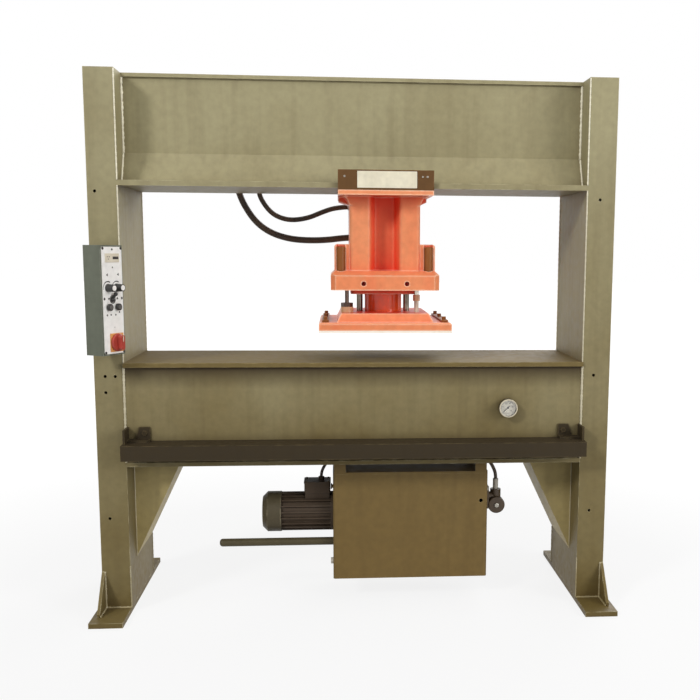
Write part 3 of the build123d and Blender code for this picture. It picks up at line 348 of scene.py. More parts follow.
hose_plane = 0.285
thick_hose_route = [
    (-0.508, 1.785), (-0.508, 1.746), (-0.503, 1.704), (-0.492, 1.661), (-0.472, 1.611), (-0.425, 1.539),
    (-0.361, 1.492), (-0.280, 1.467), (-0.197, 1.461), (-0.116, 1.464), (-0.050, 1.473), (0.004, 1.476),
]
thin_hose_route = [
    (-0.420, 1.785), (-0.420, 1.746), (-0.416, 1.704), (-0.408, 1.663), (-0.395, 1.627), (-0.360, 1.580),
    (-0.319, 1.556), (-0.267, 1.546), (-0.197, 1.557), (-0.135, 1.584), (-0.080, 1.602), (-0.030, 1.605),
]
cable_plane = -0.055
motor_cable_route = [
    (-0.145, 0.498), (-0.145, 0.513), (-0.136, 0.536), (-0.120, 0.559),
    (-0.098, 0.582), (-0.071, 0.603), (-0.038, 0.619), (-0.006, 0.619),
]
outlet_hose_route = [
    (0.580, 0.480), (0.580, 0.498), (0.572, 0.523), (0.557, 0.549),
    (0.537, 0.573), (0.511, 0.597), (0.482, 0.613), (0.456, 0.613),
]
for cord_name, route, plane, cord_radius in (
    ("thick_hose", thick_hose_route, hose_plane, 0.0135),
    ("thin_hose", thin_hose_route, hose_plane, 0.0105),
    ("motor_cable", motor_cable_route, cable_plane, 0.006),
    ("outlet_hose", outlet_hose_route, cable_plane, 0.007),
):
    line = smooth_line([Vector((x, plane, z)) for x, z in route])
    cord = hose_tube(cord_name + "_tube", line, cord_radius)
    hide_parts(cord_name)
    if plane == hose_plane:
        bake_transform(cord)
    else:
        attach(cord, "frame")


# Welded frame
# Columns, feet, beam, bed and knees are steel plate, welded and sprayed with olive gloss paint that has faded
# and picked up dust: lighter and greyer high up, darker and browner near the floor, partly as painted light
# from above, with runs of dirt, painted shade in corners and a slightly uneven skin.
# Edges turn pale, partly from wear and partly as a painted highlight where a rounded edge would catch the
# light; Even keeps the pale line unbroken.
edge_wear_and_highlight, given, result = open_group(
    "edge_wear_and_highlight", [("Reach", "Float"), ("Even", "Float")], [("Wear and highlight", "Float")]
)
rounded = shader_node(edge_wear_and_highlight, "Bevel", {"Radius": given["Reach"]}, samples=4)
plain = shader_node(edge_wear_and_highlight, "NewGeometry")
facing = shader_node(
    edge_wear_and_highlight, "VectorMath", {0: rounded.outputs[0], 1: plain.outputs["Normal"]}, operation="DOT_PRODUCT"
)
bent = spread(edge_wear_and_highlight, facing.outputs["Value"], 1.0, 0.0, 0.80, 0.995)
broken = shader_node(
    edge_wear_and_highlight, "TexNoise",
    {"Vector": shader_node(edge_wear_and_highlight, "TexCoord").outputs["Object"], "Scale": 24.0, "Detail": 6.0},
)
kept = shader_node(
    edge_wear_and_highlight, "Math", {0: spread(edge_wear_and_highlight, broken.outputs["Fac"], 0.0, 1.0, 0.42, 0.62), 1: given["Even"]},
    operation="MAXIMUM",
)
pale_edge = shader_node(edge_wear_and_highlight, "Math", {0: bent, 1: kept.outputs[0]}, operation="MULTIPLY")
edge_wear_and_highlight.links.new(pale_edge.outputs[0], result["Wear and highlight"])

# Oil and dust run down upright faces in faint streaks, and corners and hollows get painted shade from an
# occlusion mask.
dirt_runs_and_corner_shade, given, result = open_group(
    "dirt_runs_and_corner_shade", [("Reach", "Float")], [("Runs", "Float"), ("Corner shade", "Float")]
)
stretched = shader_node(
    dirt_runs_and_corner_shade, "Mapping",
    {"Vector": shader_node(dirt_runs_and_corner_shade, "TexCoord").outputs["Object"], "Scale": (26.0, 26.0, 1.6)},
)
streaks = shader_node(dirt_runs_and_corner_shade, "TexNoise", {"Vector": stretched.outputs[0], "Scale": 1.0, "Detail": 3.0})
dirt_runs_and_corner_shade.links.new(spread(dirt_runs_and_corner_shade, streaks.outputs["Fac"], 0.0, 1.0, 0.48, 0.74), result["Runs"])
open_share = shader_node(dirt_runs_and_corner_shade, "AmbientOcclusion", {"Distance": given["Reach"]}, samples=6)
dirt_runs_and_corner_shade.links.new(spread(dirt_runs_and_corner_shade, open_share.outputs["AO"], 1.0, 0.0, 0.25, 0.85), result["Corner shade"])


def sprayed_paint(
    name, high, low, edge, grime_and_shade, ceiling, gloss, edge_width=0.004, corner_shade=0.6, corner=0.05, shadow_band=None, even=0.0,
    shine=0.22,
):
    """Paint from a low to a high tone up to a ceiling, pale on edges from wear and painted highlight, with
    painted shade in corners and, if given, a painted shadow band.
    """
    material, tree, shader = new_material(name)
    patchy = place_group(tree, unevenness, {"Patch": 2.2, "Grain": 260.0})
    marks = place_group(tree, dirt_runs_and_corner_shade, {"Reach": corner})
    where = shader_node(tree, "TexCoord").outputs["Object"]
    height = shader_node(tree, "SeparateXYZ", {"Vector": where}).outputs["Z"]
    # The tone rises with height; on the frame the lighter top is partly painted light from above.
    level = spread(tree, height, 0.0, 1.0, 0.0, ceiling)
    drift = spread(tree, patchy["Patches"], -0.24, 0.24, 0.25, 0.75)
    toned = shader_node(tree, "Math", {0: level, 1: drift}, operation="ADD", use_clamp=True)
    tone = mix_colour(tree, toned.outputs[0], low, high)
    shade = spread(tree, patchy["Mottle"], 0.92, 1.06, 0.3, 0.7)
    grey = shader_node(tree, "CombineColor", {0: shade, 1: shade, 2: shade})
    film = mix_colour(tree, 1.0, tone, grey.outputs[0], "MULTIPLY")
    film = mix_colour(tree, spread(tree, marks["Runs"], 0.0, 0.16), film, grime_and_shade)
    # Painted shade: corners and hollows darken towards the grime colour by the occlusion mask.
    film = mix_colour(tree, spread(tree, marks["Corner shade"], 0.0, corner_shade), film, grime_and_shade)
    # A painted shadow: the paint darkens in a band below a given top height.
    if shadow_band:
        shadow_top, shadow_depth = shadow_band
        film = mix_colour(tree, spread(tree, height, 0.0, 0.95, shadow_top - shadow_depth, shadow_top), film, grime_and_shade)
    # Pale edges: wear and a painted highlight.
    pale_edge = place_group(tree, edge_wear_and_highlight, {"Reach": edge_width, "Even": even})["Wear and highlight"]
    relief = shader_node(tree, "Bump", {"Height": patchy["Fine"], "Strength": 0.10, "Distance": 0.0006})
    feed(
        tree, shader, Base_Color=mix_colour(tree, pale_edge, film, edge),
        Roughness=spread(tree, patchy["Mottle"], gloss, gloss + 0.16, 0.3, 0.7), Normal=relief.outputs[0],
        Specular_IOR_Level=shine,
    )
    return material


nodes = frame["nodes"]


def dress(material, *names):
    """Give CAD pieces their finish."""
    for name in names:
        for slot in nodes[name].material_slots:
            slot.material = material


frame_height = cad_box[1].z
# Olive tones from near the floor to the top; the lighter high tone is partly painted light from above.
olive_high, olive_low = colour(158, 150, 116), colour(106, 90, 50)
olive_edge, olive_grime_and_shade = colour(196, 186, 152), colour(78, 62, 38)
olive_paint = sprayed_paint(
    "olive_paint", olive_high, olive_low, olive_edge, olive_grime_and_shade, ceiling=frame_height, gloss=0.42
)
dress(olive_paint, "left_column", "right_column", "left_foot", "right_foot", "upper_beam", "bed_flanges")
# The knees sit back in shade behind the columns' front and get a lighter copy of the olive paint: painted
# light that lifts them out of it.
knee_lightened_paint = sprayed_paint(
    "knee_lightened_paint", colour(186, 172, 128), colour(168, 150, 98), olive_edge, olive_grime_and_shade,
    ceiling=frame_height, gloss=0.42, corner_shade=0.15,
)
dress(knee_lightened_paint, "bed_knees")
bed_low, bed_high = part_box("bed_frame")
# The bed's web carries a painted shadow: a dark band below the bed top's lip.
lip_shadow_depth = 0.085
bed_paint = sprayed_paint(
    "bed_paint", olive_high, colour(104, 86, 42), olive_edge, colour(46, 32, 14),
    ceiling=frame_height, gloss=0.45, shadow_band=(bed_high.z, lip_shadow_depth),
)
dress(bed_paint, "bed_frame")
bed_top_paint = sprayed_paint(
    "bed_top_paint", colour(118, 102, 62), colour(108, 92, 54), colour(168, 152, 112), olive_grime_and_shade,
    ceiling=frame_height, gloss=0.6,
)
dress(bed_top_paint, "bed_top")

# Every seam of the frame carries a rippled weld bead in a much paler copy of the olive paint: a painted
# highlight along the seams.
bead_highlight_paint = sprayed_paint(
    "bead_highlight_paint", colour(240, 234, 210), colour(156, 142, 104), colour(246, 242, 224), olive_grime_and_shade,
    ceiling=frame_height, gloss=0.30, corner_shade=0.2, corner=0.01,
)
column_low, column_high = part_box("left_column")
knee_low, knee_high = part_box("bed_knees")
inner_face = abs(column_high.x)
outer_face = abs(column_low.x)
front_face = column_low.y
foot_top = column_low.z
web_front = -0.105
haunch_front = -0.155
haunch_top = 1.784
rail_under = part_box("upper_beam")[0].z
rail_top = 1.675
cover_under = 2.066
cover_inset = 0.004
bed_top_thick = 0.018
gusset_thick = 0.012
gusset_height = 0.148
gusset_reach = 0.105
knee_front = knee_low.y
knee_reach = 0.19
web_bead = 0.008
seam_bead = 0.006
gusset_bead = 0.0055
knee_bead = 0.004
column_bead = 0.0035
leg_bead = 0.003


def join_into(bm, part, place):
    """Set a finished bmesh in its place and add it to another."""
    mesh = bpy.data.meshes.new("part")
    part.transform(place)
    part.to_mesh(mesh)
    part.free()
    bm.from_mesh(mesh)
    bpy.data.meshes.remove(mesh)


def weld_bead(bm, start, end, radius):
    """A run of overlapping ripples between two points."""
    start, end = Vector(start), Vector(end)
    length = (end - start).length
    pitch = radius * 0.9
    steps = max(4, int(length / pitch))
    bead = bmesh.new()
    bmesh.ops.create_circle(bead, segments=7, radius=radius, cap_ends=True)
    swept = bmesh.ops.spin(
        bead, geom=bead.verts[:] + bead.edges[:], cent=(0, 0, 0), axis=(0, 0, 1), dvec=(0, 0, length / steps),
        angle=0, steps=steps,
    )["geom_last"]
    bmesh.ops.contextual_create(bead, geom=[g for g in swept if isinstance(g, bmesh.types.BMEdge)])
    for vertex in bead.verts:
        reach = vertex.co.z / pitch
        ripple = 0.82 + 0.18 * cos(2 * pi * reach / 2.6) + 0.10 * sin(2 * pi * reach / 7.3)
        vertex.co.xy *= ripple
    turn = (end - start).to_track_quat("Z", "Y").to_matrix().to_4x4()
    join_into(bm, bead, Matrix.Translation(start) @ turn)


bm = bmesh.new()
for side in (-1, 1):
    corner = side * inner_face
    for end in (1, -1):
        front = end * front_face
        web = end * web_front
        weld_bead(bm, (corner, web, haunch_top), (corner, web, cover_under), web_bead)
        weld_bead(bm, (corner, web, haunch_top), (corner, end * haunch_front, rail_top), seam_bead)
        weld_bead(bm, (corner, front, bed_low.z), (corner, front, bed_high.z), seam_bead)
        weld_bead(bm, (corner, front, bed_high.z + bed_top_thick), (corner, front, rail_under), column_bead)
        weld_bead(bm, (corner, front, rail_top), (corner, front, frame_height - cover_inset), column_bead)
        weld_bead(bm, (corner, front, foot_top), (corner, front, knee_low.z), leg_bead)
        weld_bead(bm, (corner, front, foot_top), (side * outer_face, front, foot_top), seam_bead)
        gusset = side * (outer_face - gusset_thick)
        gusset_toe = front + (front / abs(front)) * gusset_reach
        weld_bead(bm, (gusset, front, foot_top), (gusset, front, foot_top + gusset_height), gusset_bead)
        weld_bead(bm, (gusset, front, foot_top), (gusset, gusset_toe, foot_top), gusset_bead)
    weld_bead(bm, (corner, knee_front, knee_low.z), (corner, knee_front, knee_high.z), knee_bead)
    knee_tip = side * (inner_face - knee_reach)
    weld_bead(bm, (corner, knee_front, knee_high.z), (knee_tip, knee_front, knee_high.z), knee_bead)
add_piece("frame_welds", bm, bead_highlight_paint, "frame")


# Tool ledge
# A box-section bar along the bed's front on a bracket with an end plate at each end, painted near black and
# rubbed along its edges, where tools and offcuts are dragged over it.
ledge_paint = sprayed_paint(
    "ledge_paint", colour(54, 44, 26), colour(44, 35, 20), colour(96, 82, 54), colour(32, 24, 14),
    ceiling=1.0, gloss=0.55, edge_width=0.006,
)
dress(ledge_paint, "tool_ledge", "ledge_brackets")


# Pressure gauge
# A round case on a stem: dark behind, with a pale front rim, a white dial with a plain scale, a black needle
# and a flat glass.
def lift(bm, faces, offset):
    """Extrude flat faces by an offset and give the lifted faces."""
    grown = bmesh.ops.extrude_face_region(bm, geom=faces)["geom"]
    bmesh.ops.translate(bm, verts=[g for g in grown if isinstance(g, bmesh.types.BMVert)], vec=offset)
    return [g for g in grown if isinstance(g, bmesh.types.BMFace)]


def print_bar(bm, x, y, width, height, turn=0.0):
    """A flat bar in the plane of a panel."""
    place = Matrix.Translation((x, y, 0)) @ Matrix.Rotation(turn, 4, "Z")
    bmesh.ops.create_grid(
        bm, x_segments=1, y_segments=1, size=0.5, matrix=place @ Matrix.Diagonal((width, height, 1, 1))
    )


def print_number(bm, text, x, y, height):
    """A number in the plane of a panel, centred on a point."""
    letters = bpy.data.curves.new("number", "FONT")
    letters.body = text
    letters.size = height
    letters.align_x = "CENTER"
    letters.align_y = "CENTER"
    holder = bpy.data.objects.new("number", letters)
    mesh = bpy.data.meshes.new_from_object(holder)
    mesh.transform(Matrix.Translation((x, y, 0)))
    bm.from_mesh(mesh)
    bpy.data.objects.remove(holder)
    bpy.data.meshes.remove(mesh)
    bpy.data.curves.remove(letters)


def finish_print(name, bm, place, across, outward, thick, material, body):
    """Give flat print its thickness and set it on the face that carries it."""
    lift(bm, bm.faces[:], (0, 0, thick))
    upward = outward.cross(across)
    turn = Matrix((across, upward, outward)).transposed().to_4x4()
    bmesh.ops.transform(bm, matrix=Matrix.Translation(place) @ turn, verts=bm.verts[:])
    return add_piece(name, bm, material, body, smooth=False)


def moulded_plastic(name, main, worn, gloss):
    """Smooth moulded plastic with worn patches and a fine grain."""
    material, tree, shader = new_material(name)
    patchy = place_group(tree, unevenness, {"Patch": 14.0, "Grain": 800.0})
    body = mix_colour(tree, spread(tree, patchy["Patches"], 0.0, 1.0, 0.45, 0.75), main, worn)
    relief = shader_node(tree, "Bump", {"Height": patchy["Fine"], "Strength": 0.2, "Distance": 0.0003})
    feed(
        tree, shader, Base_Color=body, Roughness=spread(tree, patchy["Mottle"], gloss, gloss + 0.15),
        Normal=relief.outputs[0],
    )
    return material


black_plastic = moulded_plastic("black_plastic", colour(34, 33, 31), colour(54, 52, 48), 0.35)
dial_white = moulded_plastic("dial_white", colour(232, 226, 210), colour(216, 208, 188), 0.45)
print_ink = moulded_plastic("print_ink", colour(44, 42, 40), colour(62, 58, 54), 0.5)

gauge_enamel, tree, shader = new_material("gauge_enamel")
patchy = place_group(tree, unevenness, {"Patch": 14.0, "Grain": 800.0})
rim_depth = 0.005
rim_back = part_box("gauge_case")[0].y + rim_depth
rim_blur = 0.0005
where = shader_node(tree, "TexCoord").outputs["Object"]
depth = shader_node(tree, "SeparateXYZ", {"Vector": where}).outputs["Y"]
behind_rim = spread(tree, depth, 0.0, 1.0, rim_back, rim_back + rim_blur)
yellowed = spread(tree, patchy["Patches"], 0.0, 1.0, 0.4, 0.7)
enamel = mix_colour(tree, yellowed, colour(214, 204, 180), colour(190, 178, 150))
feed(
    tree, shader, Base_Color=mix_colour(tree, behind_rim, enamel, colour(52, 42, 28)),
    Roughness=spread(tree, patchy["Mottle"], 0.3, 0.5),
)

clear_glass, tree, shader = new_material("clear_glass")
patchy = place_group(tree, unevenness, {"Patch": 20.0, "Grain": 700.0})
feed(
    tree, shader, Base_Color=white, Transmission_Weight=1.0, IOR=1.45,
    Roughness=spread(tree, patchy["Patches"], 0.0, 0.05, 0.5, 0.8),
)
dress(gauge_enamel, "gauge_case")
dress(black_plastic, "gauge_needle")
dress(dial_white, "gauge_dial")
dress(clear_glass, "gauge_glass")

joints = {joint["name"]: joint for joint in frame["joints"]}
rightward, frontward = Vector((1, 0, 0)), Vector((0, -1, 0))
dial_centre = Vector(joints["gauge_turn"]["pos_m"])
dial_centre.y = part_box("gauge_dial")[0].y
scale_radius = 0.0275
scale_start = radians(225)
scale_sweep = radians(270)
scale_steps = 25
steps_per_number = 5
long_tick, short_tick = 0.005, 0.003
wide_line, thin_line = 0.0009, 0.0005
number_radius, number_height = 0.0185, 0.006
print_thick = 0.0002
bm = bmesh.new()
for step in range(scale_steps + 1):
    angle = scale_start - scale_sweep * step / scale_steps
    numbered = step % steps_per_number == 0
    tick = long_tick if numbered else short_tick
    line_width = wide_line if numbered else thin_line
    reach = scale_radius - tick / 2
    print_bar(bm, reach * cos(angle), reach * sin(angle), tick, line_width, angle)
    if numbered:
        print_number(bm, str(step), number_radius * cos(angle), number_radius * sin(angle), number_height)
finish_print("gauge_scale", bm, dial_centre, rightward, frontward, print_thick, print_ink, "frame")


# Control box
# A sheet-steel box hung on the left column and turned to the operator: dark grey-green sides, rubbed pale
# along their edges, and a white panel with a counter, two knobs, a joystick, two buttons and the main switch.
box_paint = sprayed_paint(
    "box_paint", colour(108, 112, 98), colour(82, 86, 72), colour(172, 174, 160), colour(60, 58, 46),
    ceiling=1.6, gloss=0.42, edge_width=0.003,
)
dress(box_paint, "control_box", "panel_bracket")
panel_white = sprayed_paint(
    "panel_white", colour(250, 249, 245), colour(244, 242, 236), colour(214, 210, 198),
    colour(206, 198, 180), ceiling=1.6, gloss=0.35, edge_width=0.002, corner_shade=0.35, corner=0.015,
)
dress(panel_white, "control_panel")
cream_plastic = moulded_plastic("cream_plastic", colour(226, 218, 198), colour(208, 198, 174), 0.4)
grey_plastic = moulded_plastic("grey_plastic", colour(92, 90, 86), colour(74, 72, 68), 0.4)
cap_white = moulded_plastic("cap_white", colour(250, 248, 244), colour(238, 234, 224), 0.35)
red_plastic = moulded_plastic("red_plastic", colour(176, 62, 48), colour(150, 56, 46), 0.3)
amber_plastic = moulded_plastic("amber_plastic", colour(226, 162, 92), colour(206, 138, 76), 0.35)
dress(cream_plastic, "counter")
dress(black_plastic, "knob_left", "knob_right", "button_left", "button_right", "joystick")
dress(red_plastic, "main_switch")
dress(amber_plastic, "switch_plate")

panel_outward = Vector(joints["left_knob_turn"]["axis"])
panel_across = Vector((0, 0, 1)).cross(panel_outward)
knob_left_u, knob_right_u, knob_v = 0.032, 0.077, 0.24846
panel_corner = Vector(joints["left_knob_turn"]["pos_m"]) - panel_across * knob_left_u - Vector((0, 0, knob_v))
panel_thick = 0.003


def panel_spot(u, v, out):
    """A place by its width and height on the panel and its distance in front of the panel's back."""
    return panel_corner + panel_across * u + Vector((0, 0, v)) + panel_outward * out


def fastener(bm, place, outward, radius, height, sides=6, socket=0.0):
    """A screw or bolt head with a rounded rim, and a socket if it has one."""
    head = bmesh.new()
    bmesh.ops.create_circle(head, cap_ends=True, segments=sides, radius=radius)
    top = lift(head, head.faces[:], (0, 0, height))
    rounding = min(height, radius) * 0.25
    bmesh.ops.bevel(
        head, geom=top[0].edges[:], offset=rounding, affect="EDGES", segments=2, profile=0.5, material=-1
    )
    if socket:
        crown = max(head.faces, key=lambda face: face.calc_center_median().z)
        bmesh.ops.inset_individual(head, faces=[crown], thickness=radius - rounding - socket)
        lift(head, [crown], (0, 0, -height * 0.5))
        bmesh.ops.delete(head, geom=[crown], context="FACES_ONLY")
    turn = Vector(outward).to_track_quat("Z", "Y").to_matrix().to_4x4()
    join_into(bm, head, Matrix.Translation(place) @ turn)


def print_disc(bm, x, y, radius, sides=20, turn=0.0):
    """A flat round or many-sided spot in the plane of a panel."""
    bmesh.ops.create_circle(
        bm, cap_ends=True, segments=sides, radius=radius,
        matrix=Matrix.Translation((x, y, 0)) @ Matrix.Rotation(turn, 4, "Z"),
    )


# The panel's print: a scale that widens round each knob, with arrows and dots by the controls.
bm = bmesh.new()
for u, v, radius in (
    (0.059, 0.323, 0.003), (0.0126, 0.209, 0.0048), (0.1028, 0.209, 0.0048), (0.061, 0.103, 0.0015),
    (0.0245, 0.149, 0.0034), (0.0438, 0.150, 0.0034), (0.0684, 0.149, 0.0034), (0.088, 0.158, 0.0034),
):
    print_disc(bm, u, v, radius)
arrow_radius = 0.0062
for u, v, turn in (
    (0.0306, 0.296, pi / 2), (0.0873, 0.297, pi / 2), (0.035, 0.209, pi), (0.079, 0.209, 0.0),
):
    print_disc(bm, u, v, arrow_radius, 3, turn)
wedge_steps = 22
wedge_radius = 0.0235
wedge_start, wedge_sweep = 190, 125
wedge_tip, wedge_growth, wedge_stroke = 0.0012, 0.0030, 0.0042
for knob_u in (knob_left_u, knob_right_u):
    for step in range(wedge_steps):
        angle = radians(wedge_start - wedge_sweep * step / (wedge_steps - 1))
        width = wedge_tip + wedge_growth * step / (wedge_steps - 1)
        mark_u = knob_u + wedge_radius * cos(angle)
        mark_v = knob_v + wedge_radius * sin(angle)
        print_bar(bm, mark_u, mark_v, width, wedge_stroke, angle)
print_corner = panel_spot(0, 0, panel_thick)
finish_print("panel_print", bm, print_corner, panel_across, panel_outward, print_thick, print_ink, "frame")

# The counter has a dark window and three keys, and five screws hold the panel.
counter_v = 0.3575
counter_out = 0.006
window_u, window_width, window_height = 0.074, 0.030, 0.010
key_rise, key_width, key_height = 0.004, 0.006, 0.0025
label_thick = 0.0003
bm = bmesh.new()
print_bar(bm, window_u, counter_v, window_width, window_height)
for u, v in ((0.032, counter_v + key_rise), (0.042, counter_v + key_rise), (0.037, counter_v - key_rise)):
    print_bar(bm, u, v, key_width, key_height)
counter_corner = panel_spot(0, 0, counter_out)
finish_print(
    "counter_window", bm, counter_corner, panel_across, panel_outward, label_thick, print_ink, "frame"
)
bm = bmesh.new()
for v in (0.0115, 0.3925):
    for u in (0.0105, 0.1045):
        place = panel_spot(u, v, panel_thick)
        fastener(bm, place, panel_outward, radius=0.005, height=0.002, sides=12, socket=0.0022)
place = panel_spot(0.0587, 0.3885, panel_thick)
fastener(bm, place, panel_outward, radius=0.0034, height=0.0018, sides=12, socket=0.0016)
add_piece("panel_screws", bm, black_plastic, "frame", smooth=False)

# Each knob has a white cap, each button a grey centre, and the main switch a cream pointer on its grip.
knob_tip = 0.0335
button_top = 0.0165
button_v = 0.17776
knob_cap, button_cap, cap_thick = 0.0098, 0.0085, 0.0012
for body, u, v, out, radius, plastic in (
    ("left_knob", knob_left_u, knob_v, knob_tip, knob_cap, cap_white),
    ("right_knob", knob_right_u, knob_v, knob_tip, knob_cap, cap_white),
    ("left_button", knob_left_u, button_v, button_top, button_cap, grey_plastic),
    ("right_button", knob_right_u, button_v, button_top, button_cap, grey_plastic),
):
    bm = bmesh.new()
    fastener(bm, panel_spot(u, v, out), panel_outward, radius, cap_thick, sides=28)
    add_piece(body + "_cap", bm, plastic, body, smooth=False)
switch_grip_top = 0.0355
switch_grip = Vector(joints["main_switch_turn"]["pos_m"]) + panel_outward * switch_grip_top
pointer_middle, pointer_width, pointer_length = 0.014, 0.0035, 0.020
bm = bmesh.new()
print_bar(bm, 0, pointer_middle, pointer_width, pointer_length)
finish_print(
    "switch_pointer", bm, switch_grip, panel_across, panel_outward, label_thick, cream_plastic, "switch"
)


# The joystick has a ribbed sleeve on its lever and a collar round its ball.
def turned(bm, profile, base, axis, sides=28):
    """Spin a profile of radius and height round an axis and close its seams."""
    axis = Vector(axis).normalized()
    side = axis.orthogonal().normalized()
    line = [bm.verts.new(Vector(base) + side * radius + axis * height) for radius, height in profile]
    edges = [bm.edges.new(pair) for pair in zip(line, line[1:])]
    bmesh.ops.spin(
        bm, geom=line + edges, cent=base, axis=axis, angle=2 * pi, steps=sides, use_merge=True
    )
    bmesh.ops.remove_doubles(bm, verts=bm.verts[:], dist=0.00001)


stick_centre = Vector(joints["stick_swing"]["pos_m"])
stick_lean = radians(50)
lever = panel_outward * cos(stick_lean) + Vector((0, 0, 1)) * sin(stick_lean)
sleeve_radius, groove_radius, rib_radius = 0.0041, 0.0045, 0.0052
sleeve_foot, first_rib, first_groove, sleeve_end = 0.0128, 0.0133, 0.0139, 0.0180
rib_count = 4
rib_pitch = 0.0012
sleeve = [(sleeve_radius, sleeve_foot)]
for rib in range(rib_count):
    sleeve += [(rib_radius, first_rib + rib * rib_pitch), (groove_radius, first_groove + rib * rib_pitch)]
sleeve += [(sleeve_radius, sleeve_end), (sleeve_radius, sleeve_foot)]
bm = bmesh.new()
turned(bm, sleeve, stick_centre, lever)
add_piece("stick_sleeve", bm, black_plastic, "stick")
collar_base = stick_centre + panel_outward * (panel_thick / 2)
collar_bore, collar_crown, collar_rim = 0.0112, 0.0148, 0.0155
collar_side, collar_thick = 0.0007, 0.0012
collar = [
    (collar_bore, 0), (collar_rim, 0), (collar_rim, collar_side), (collar_crown, collar_thick),
    (collar_bore, collar_thick), (collar_bore, 0),
]
bm = bmesh.new()
turned(bm, collar, collar_base, panel_outward)
add_piece("stick_collar", bm, grey_plastic, "frame", smooth=False)


# Oil tank
# A sheet-steel tank hung under the bed by its lid's ears, in the frame's paint but browner with oily dust,
# with a drain plug low on the left, a round bar out of its left wall and a valve on its right wall.
tank_paint = sprayed_paint(
    "tank_paint", colour(119, 99, 59), colour(113, 91, 50), colour(150, 132, 92), colour(66, 48, 28),
    ceiling=0.6, gloss=0.42,
)
dress(tank_paint, "tank", "tank_lid")
bar_paint = sprayed_paint(
    "bar_paint", colour(88, 80, 57), colour(76, 68, 48), colour(150, 140, 112), colour(50, 42, 30),
    ceiling=0.5, gloss=0.35,
)
dress(bar_paint, "cooler_pipe")


def worked_steel(name, bright, dark, smooth, rough):
    """Bare steel with a film of oil: bright where it is rubbed, dark where it is stained."""
    material, tree, shader = new_material(name)
    patchy = place_group(tree, unevenness, {"Patch": 16.0, "Grain": 600.0})
    stained = mix_colour(tree, spread(tree, patchy["Patches"], 0.0, 1.0, 0.4, 0.68), bright, dark)
    relief = shader_node(tree, "Bump", {"Height": patchy["Fine"], "Strength": 0.1, "Distance": 0.0003})
    feed(
        tree, shader, Base_Color=stained, Metallic=1.0,
        Roughness=spread(tree, patchy["Mottle"], smooth, rough, 0.3, 0.7), Normal=relief.outputs[0],
    )
    return material


def banded_finish(name, first, bands, smooth, rough, bare_from=None):
    """A finish that changes its tone at given heights, and is bare metal above one of them."""
    blur = 0.0006
    material, tree, shader = new_material(name)
    patchy = place_group(tree, unevenness, {"Patch": 16.0, "Grain": 600.0})
    where = shader_node(tree, "TexCoord").outputs["Object"]
    height = shader_node(tree, "SeparateXYZ", {"Vector": where}).outputs["Z"]
    tone = first
    for level, next_tone in bands:
        tone = mix_colour(tree, spread(tree, height, 0.0, 1.0, level, level + blur), tone, next_tone)
    shade = spread(tree, patchy["Patches"], 0.82, 1.08, 0.3, 0.7)
    grey = shader_node(tree, "CombineColor", {0: shade, 1: shade, 2: shade})
    relief = shader_node(tree, "Bump", {"Height": patchy["Fine"], "Strength": 0.1, "Distance": 0.0003})
    feed(
        tree, shader, Base_Color=mix_colour(tree, 1.0, tone, grey.outputs[0], "MULTIPLY"),
        Roughness=spread(tree, patchy["Mottle"], smooth, rough, 0.3, 0.7), Normal=relief.outputs[0],
    )
    if bare_from:
        feed(tree, shader, Metallic=spread(tree, height, 0.0, 1.0, bare_from, bare_from + blur))
    return material


turned_steel = worked_steel("turned_steel", colour(176, 172, 162), colour(128, 118, 104), 0.25, 0.45)
cast_metal = worked_steel("cast_metal", colour(104, 92, 72), colour(70, 58, 44), 0.4, 0.6)
ferrule_start = 0.437
valve_finish = banded_finish(
    "valve_finish", colour(74, 58, 40), [(ferrule_start, colour(190, 184, 172))], 0.35, 0.55
)
dress(turned_steel, "drain_plug", "hose_ports", "hose_unions")
dress(valve_finish, "outlet_fitting")
dress(cast_metal, "pump")
valve_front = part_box("outlet_fitting")[0].y
valve_plug_x, valve_plug_z = 0.58, 0.375
bm = bmesh.new()
place = (valve_plug_x, valve_front, valve_plug_z)
fastener(bm, place, frontward, radius=0.010, height=0.005, socket=0.005)
add_piece("valve_plug", bm, turned_steel, "frame", smooth=False)


# Pump motor
# A finned cast motor on the tank's left wall, near black with oily dirt, with a pressed-steel fan cowl that
# is worn grey and a square terminal box on top, joined to the tank by a short conduit with a nut.
motor_paint = sprayed_paint(
    "motor_paint", colour(78, 64, 50), colour(68, 55, 43), colour(92, 82, 68), colour(34, 27, 21),
    ceiling=0.6, gloss=0.5,
)
cowl_paint = sprayed_paint(
    "cowl_paint", colour(84, 76, 57), colour(72, 64, 48), colour(150, 140, 116), colour(44, 37, 27),
    ceiling=0.6, gloss=0.4, edge_width=0.008,
)
dress(motor_paint, "motor_body", "terminal_box", "traverse_drive")
dress(cowl_paint, "motor_cowl")
dress(turned_steel, "motor_rotor")
dress(black_plastic, "motor_fan")
terminal_low, terminal_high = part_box("terminal_box")
terminal_lid = 0.484
screw_inset = 0.010
bm = bmesh.new()
for x in (terminal_low.x + screw_inset, terminal_high.x - screw_inset):
    for y in (terminal_low.y + screw_inset, terminal_high.y - screw_inset):
        place = (x, y, terminal_lid)
        fastener(bm, place, (0, 0, 1), radius=0.0042, height=0.003, sides=12, socket=0.002)
add_piece("terminal_screws", bm, cast_metal, "frame", smooth=False)
conduit_y, conduit_z = -0.075, 0.461
conduit_base = Vector((terminal_high.x, conduit_y, conduit_z))
conduit_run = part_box("tank")[0].x - terminal_high.x
conduit_bore, conduit_radius = 0.0055, 0.0075
conduit = [
    (conduit_bore, 0), (conduit_radius, 0), (conduit_radius, conduit_run), (conduit_bore, conduit_run),
    (conduit_bore, 0),
]
bm = bmesh.new()
turned(bm, conduit, conduit_base, rightward)
fastener(bm, conduit_base, rightward, radius=0.012, height=0.005)
add_piece("conduit", bm, cast_metal, "frame", smooth=False)


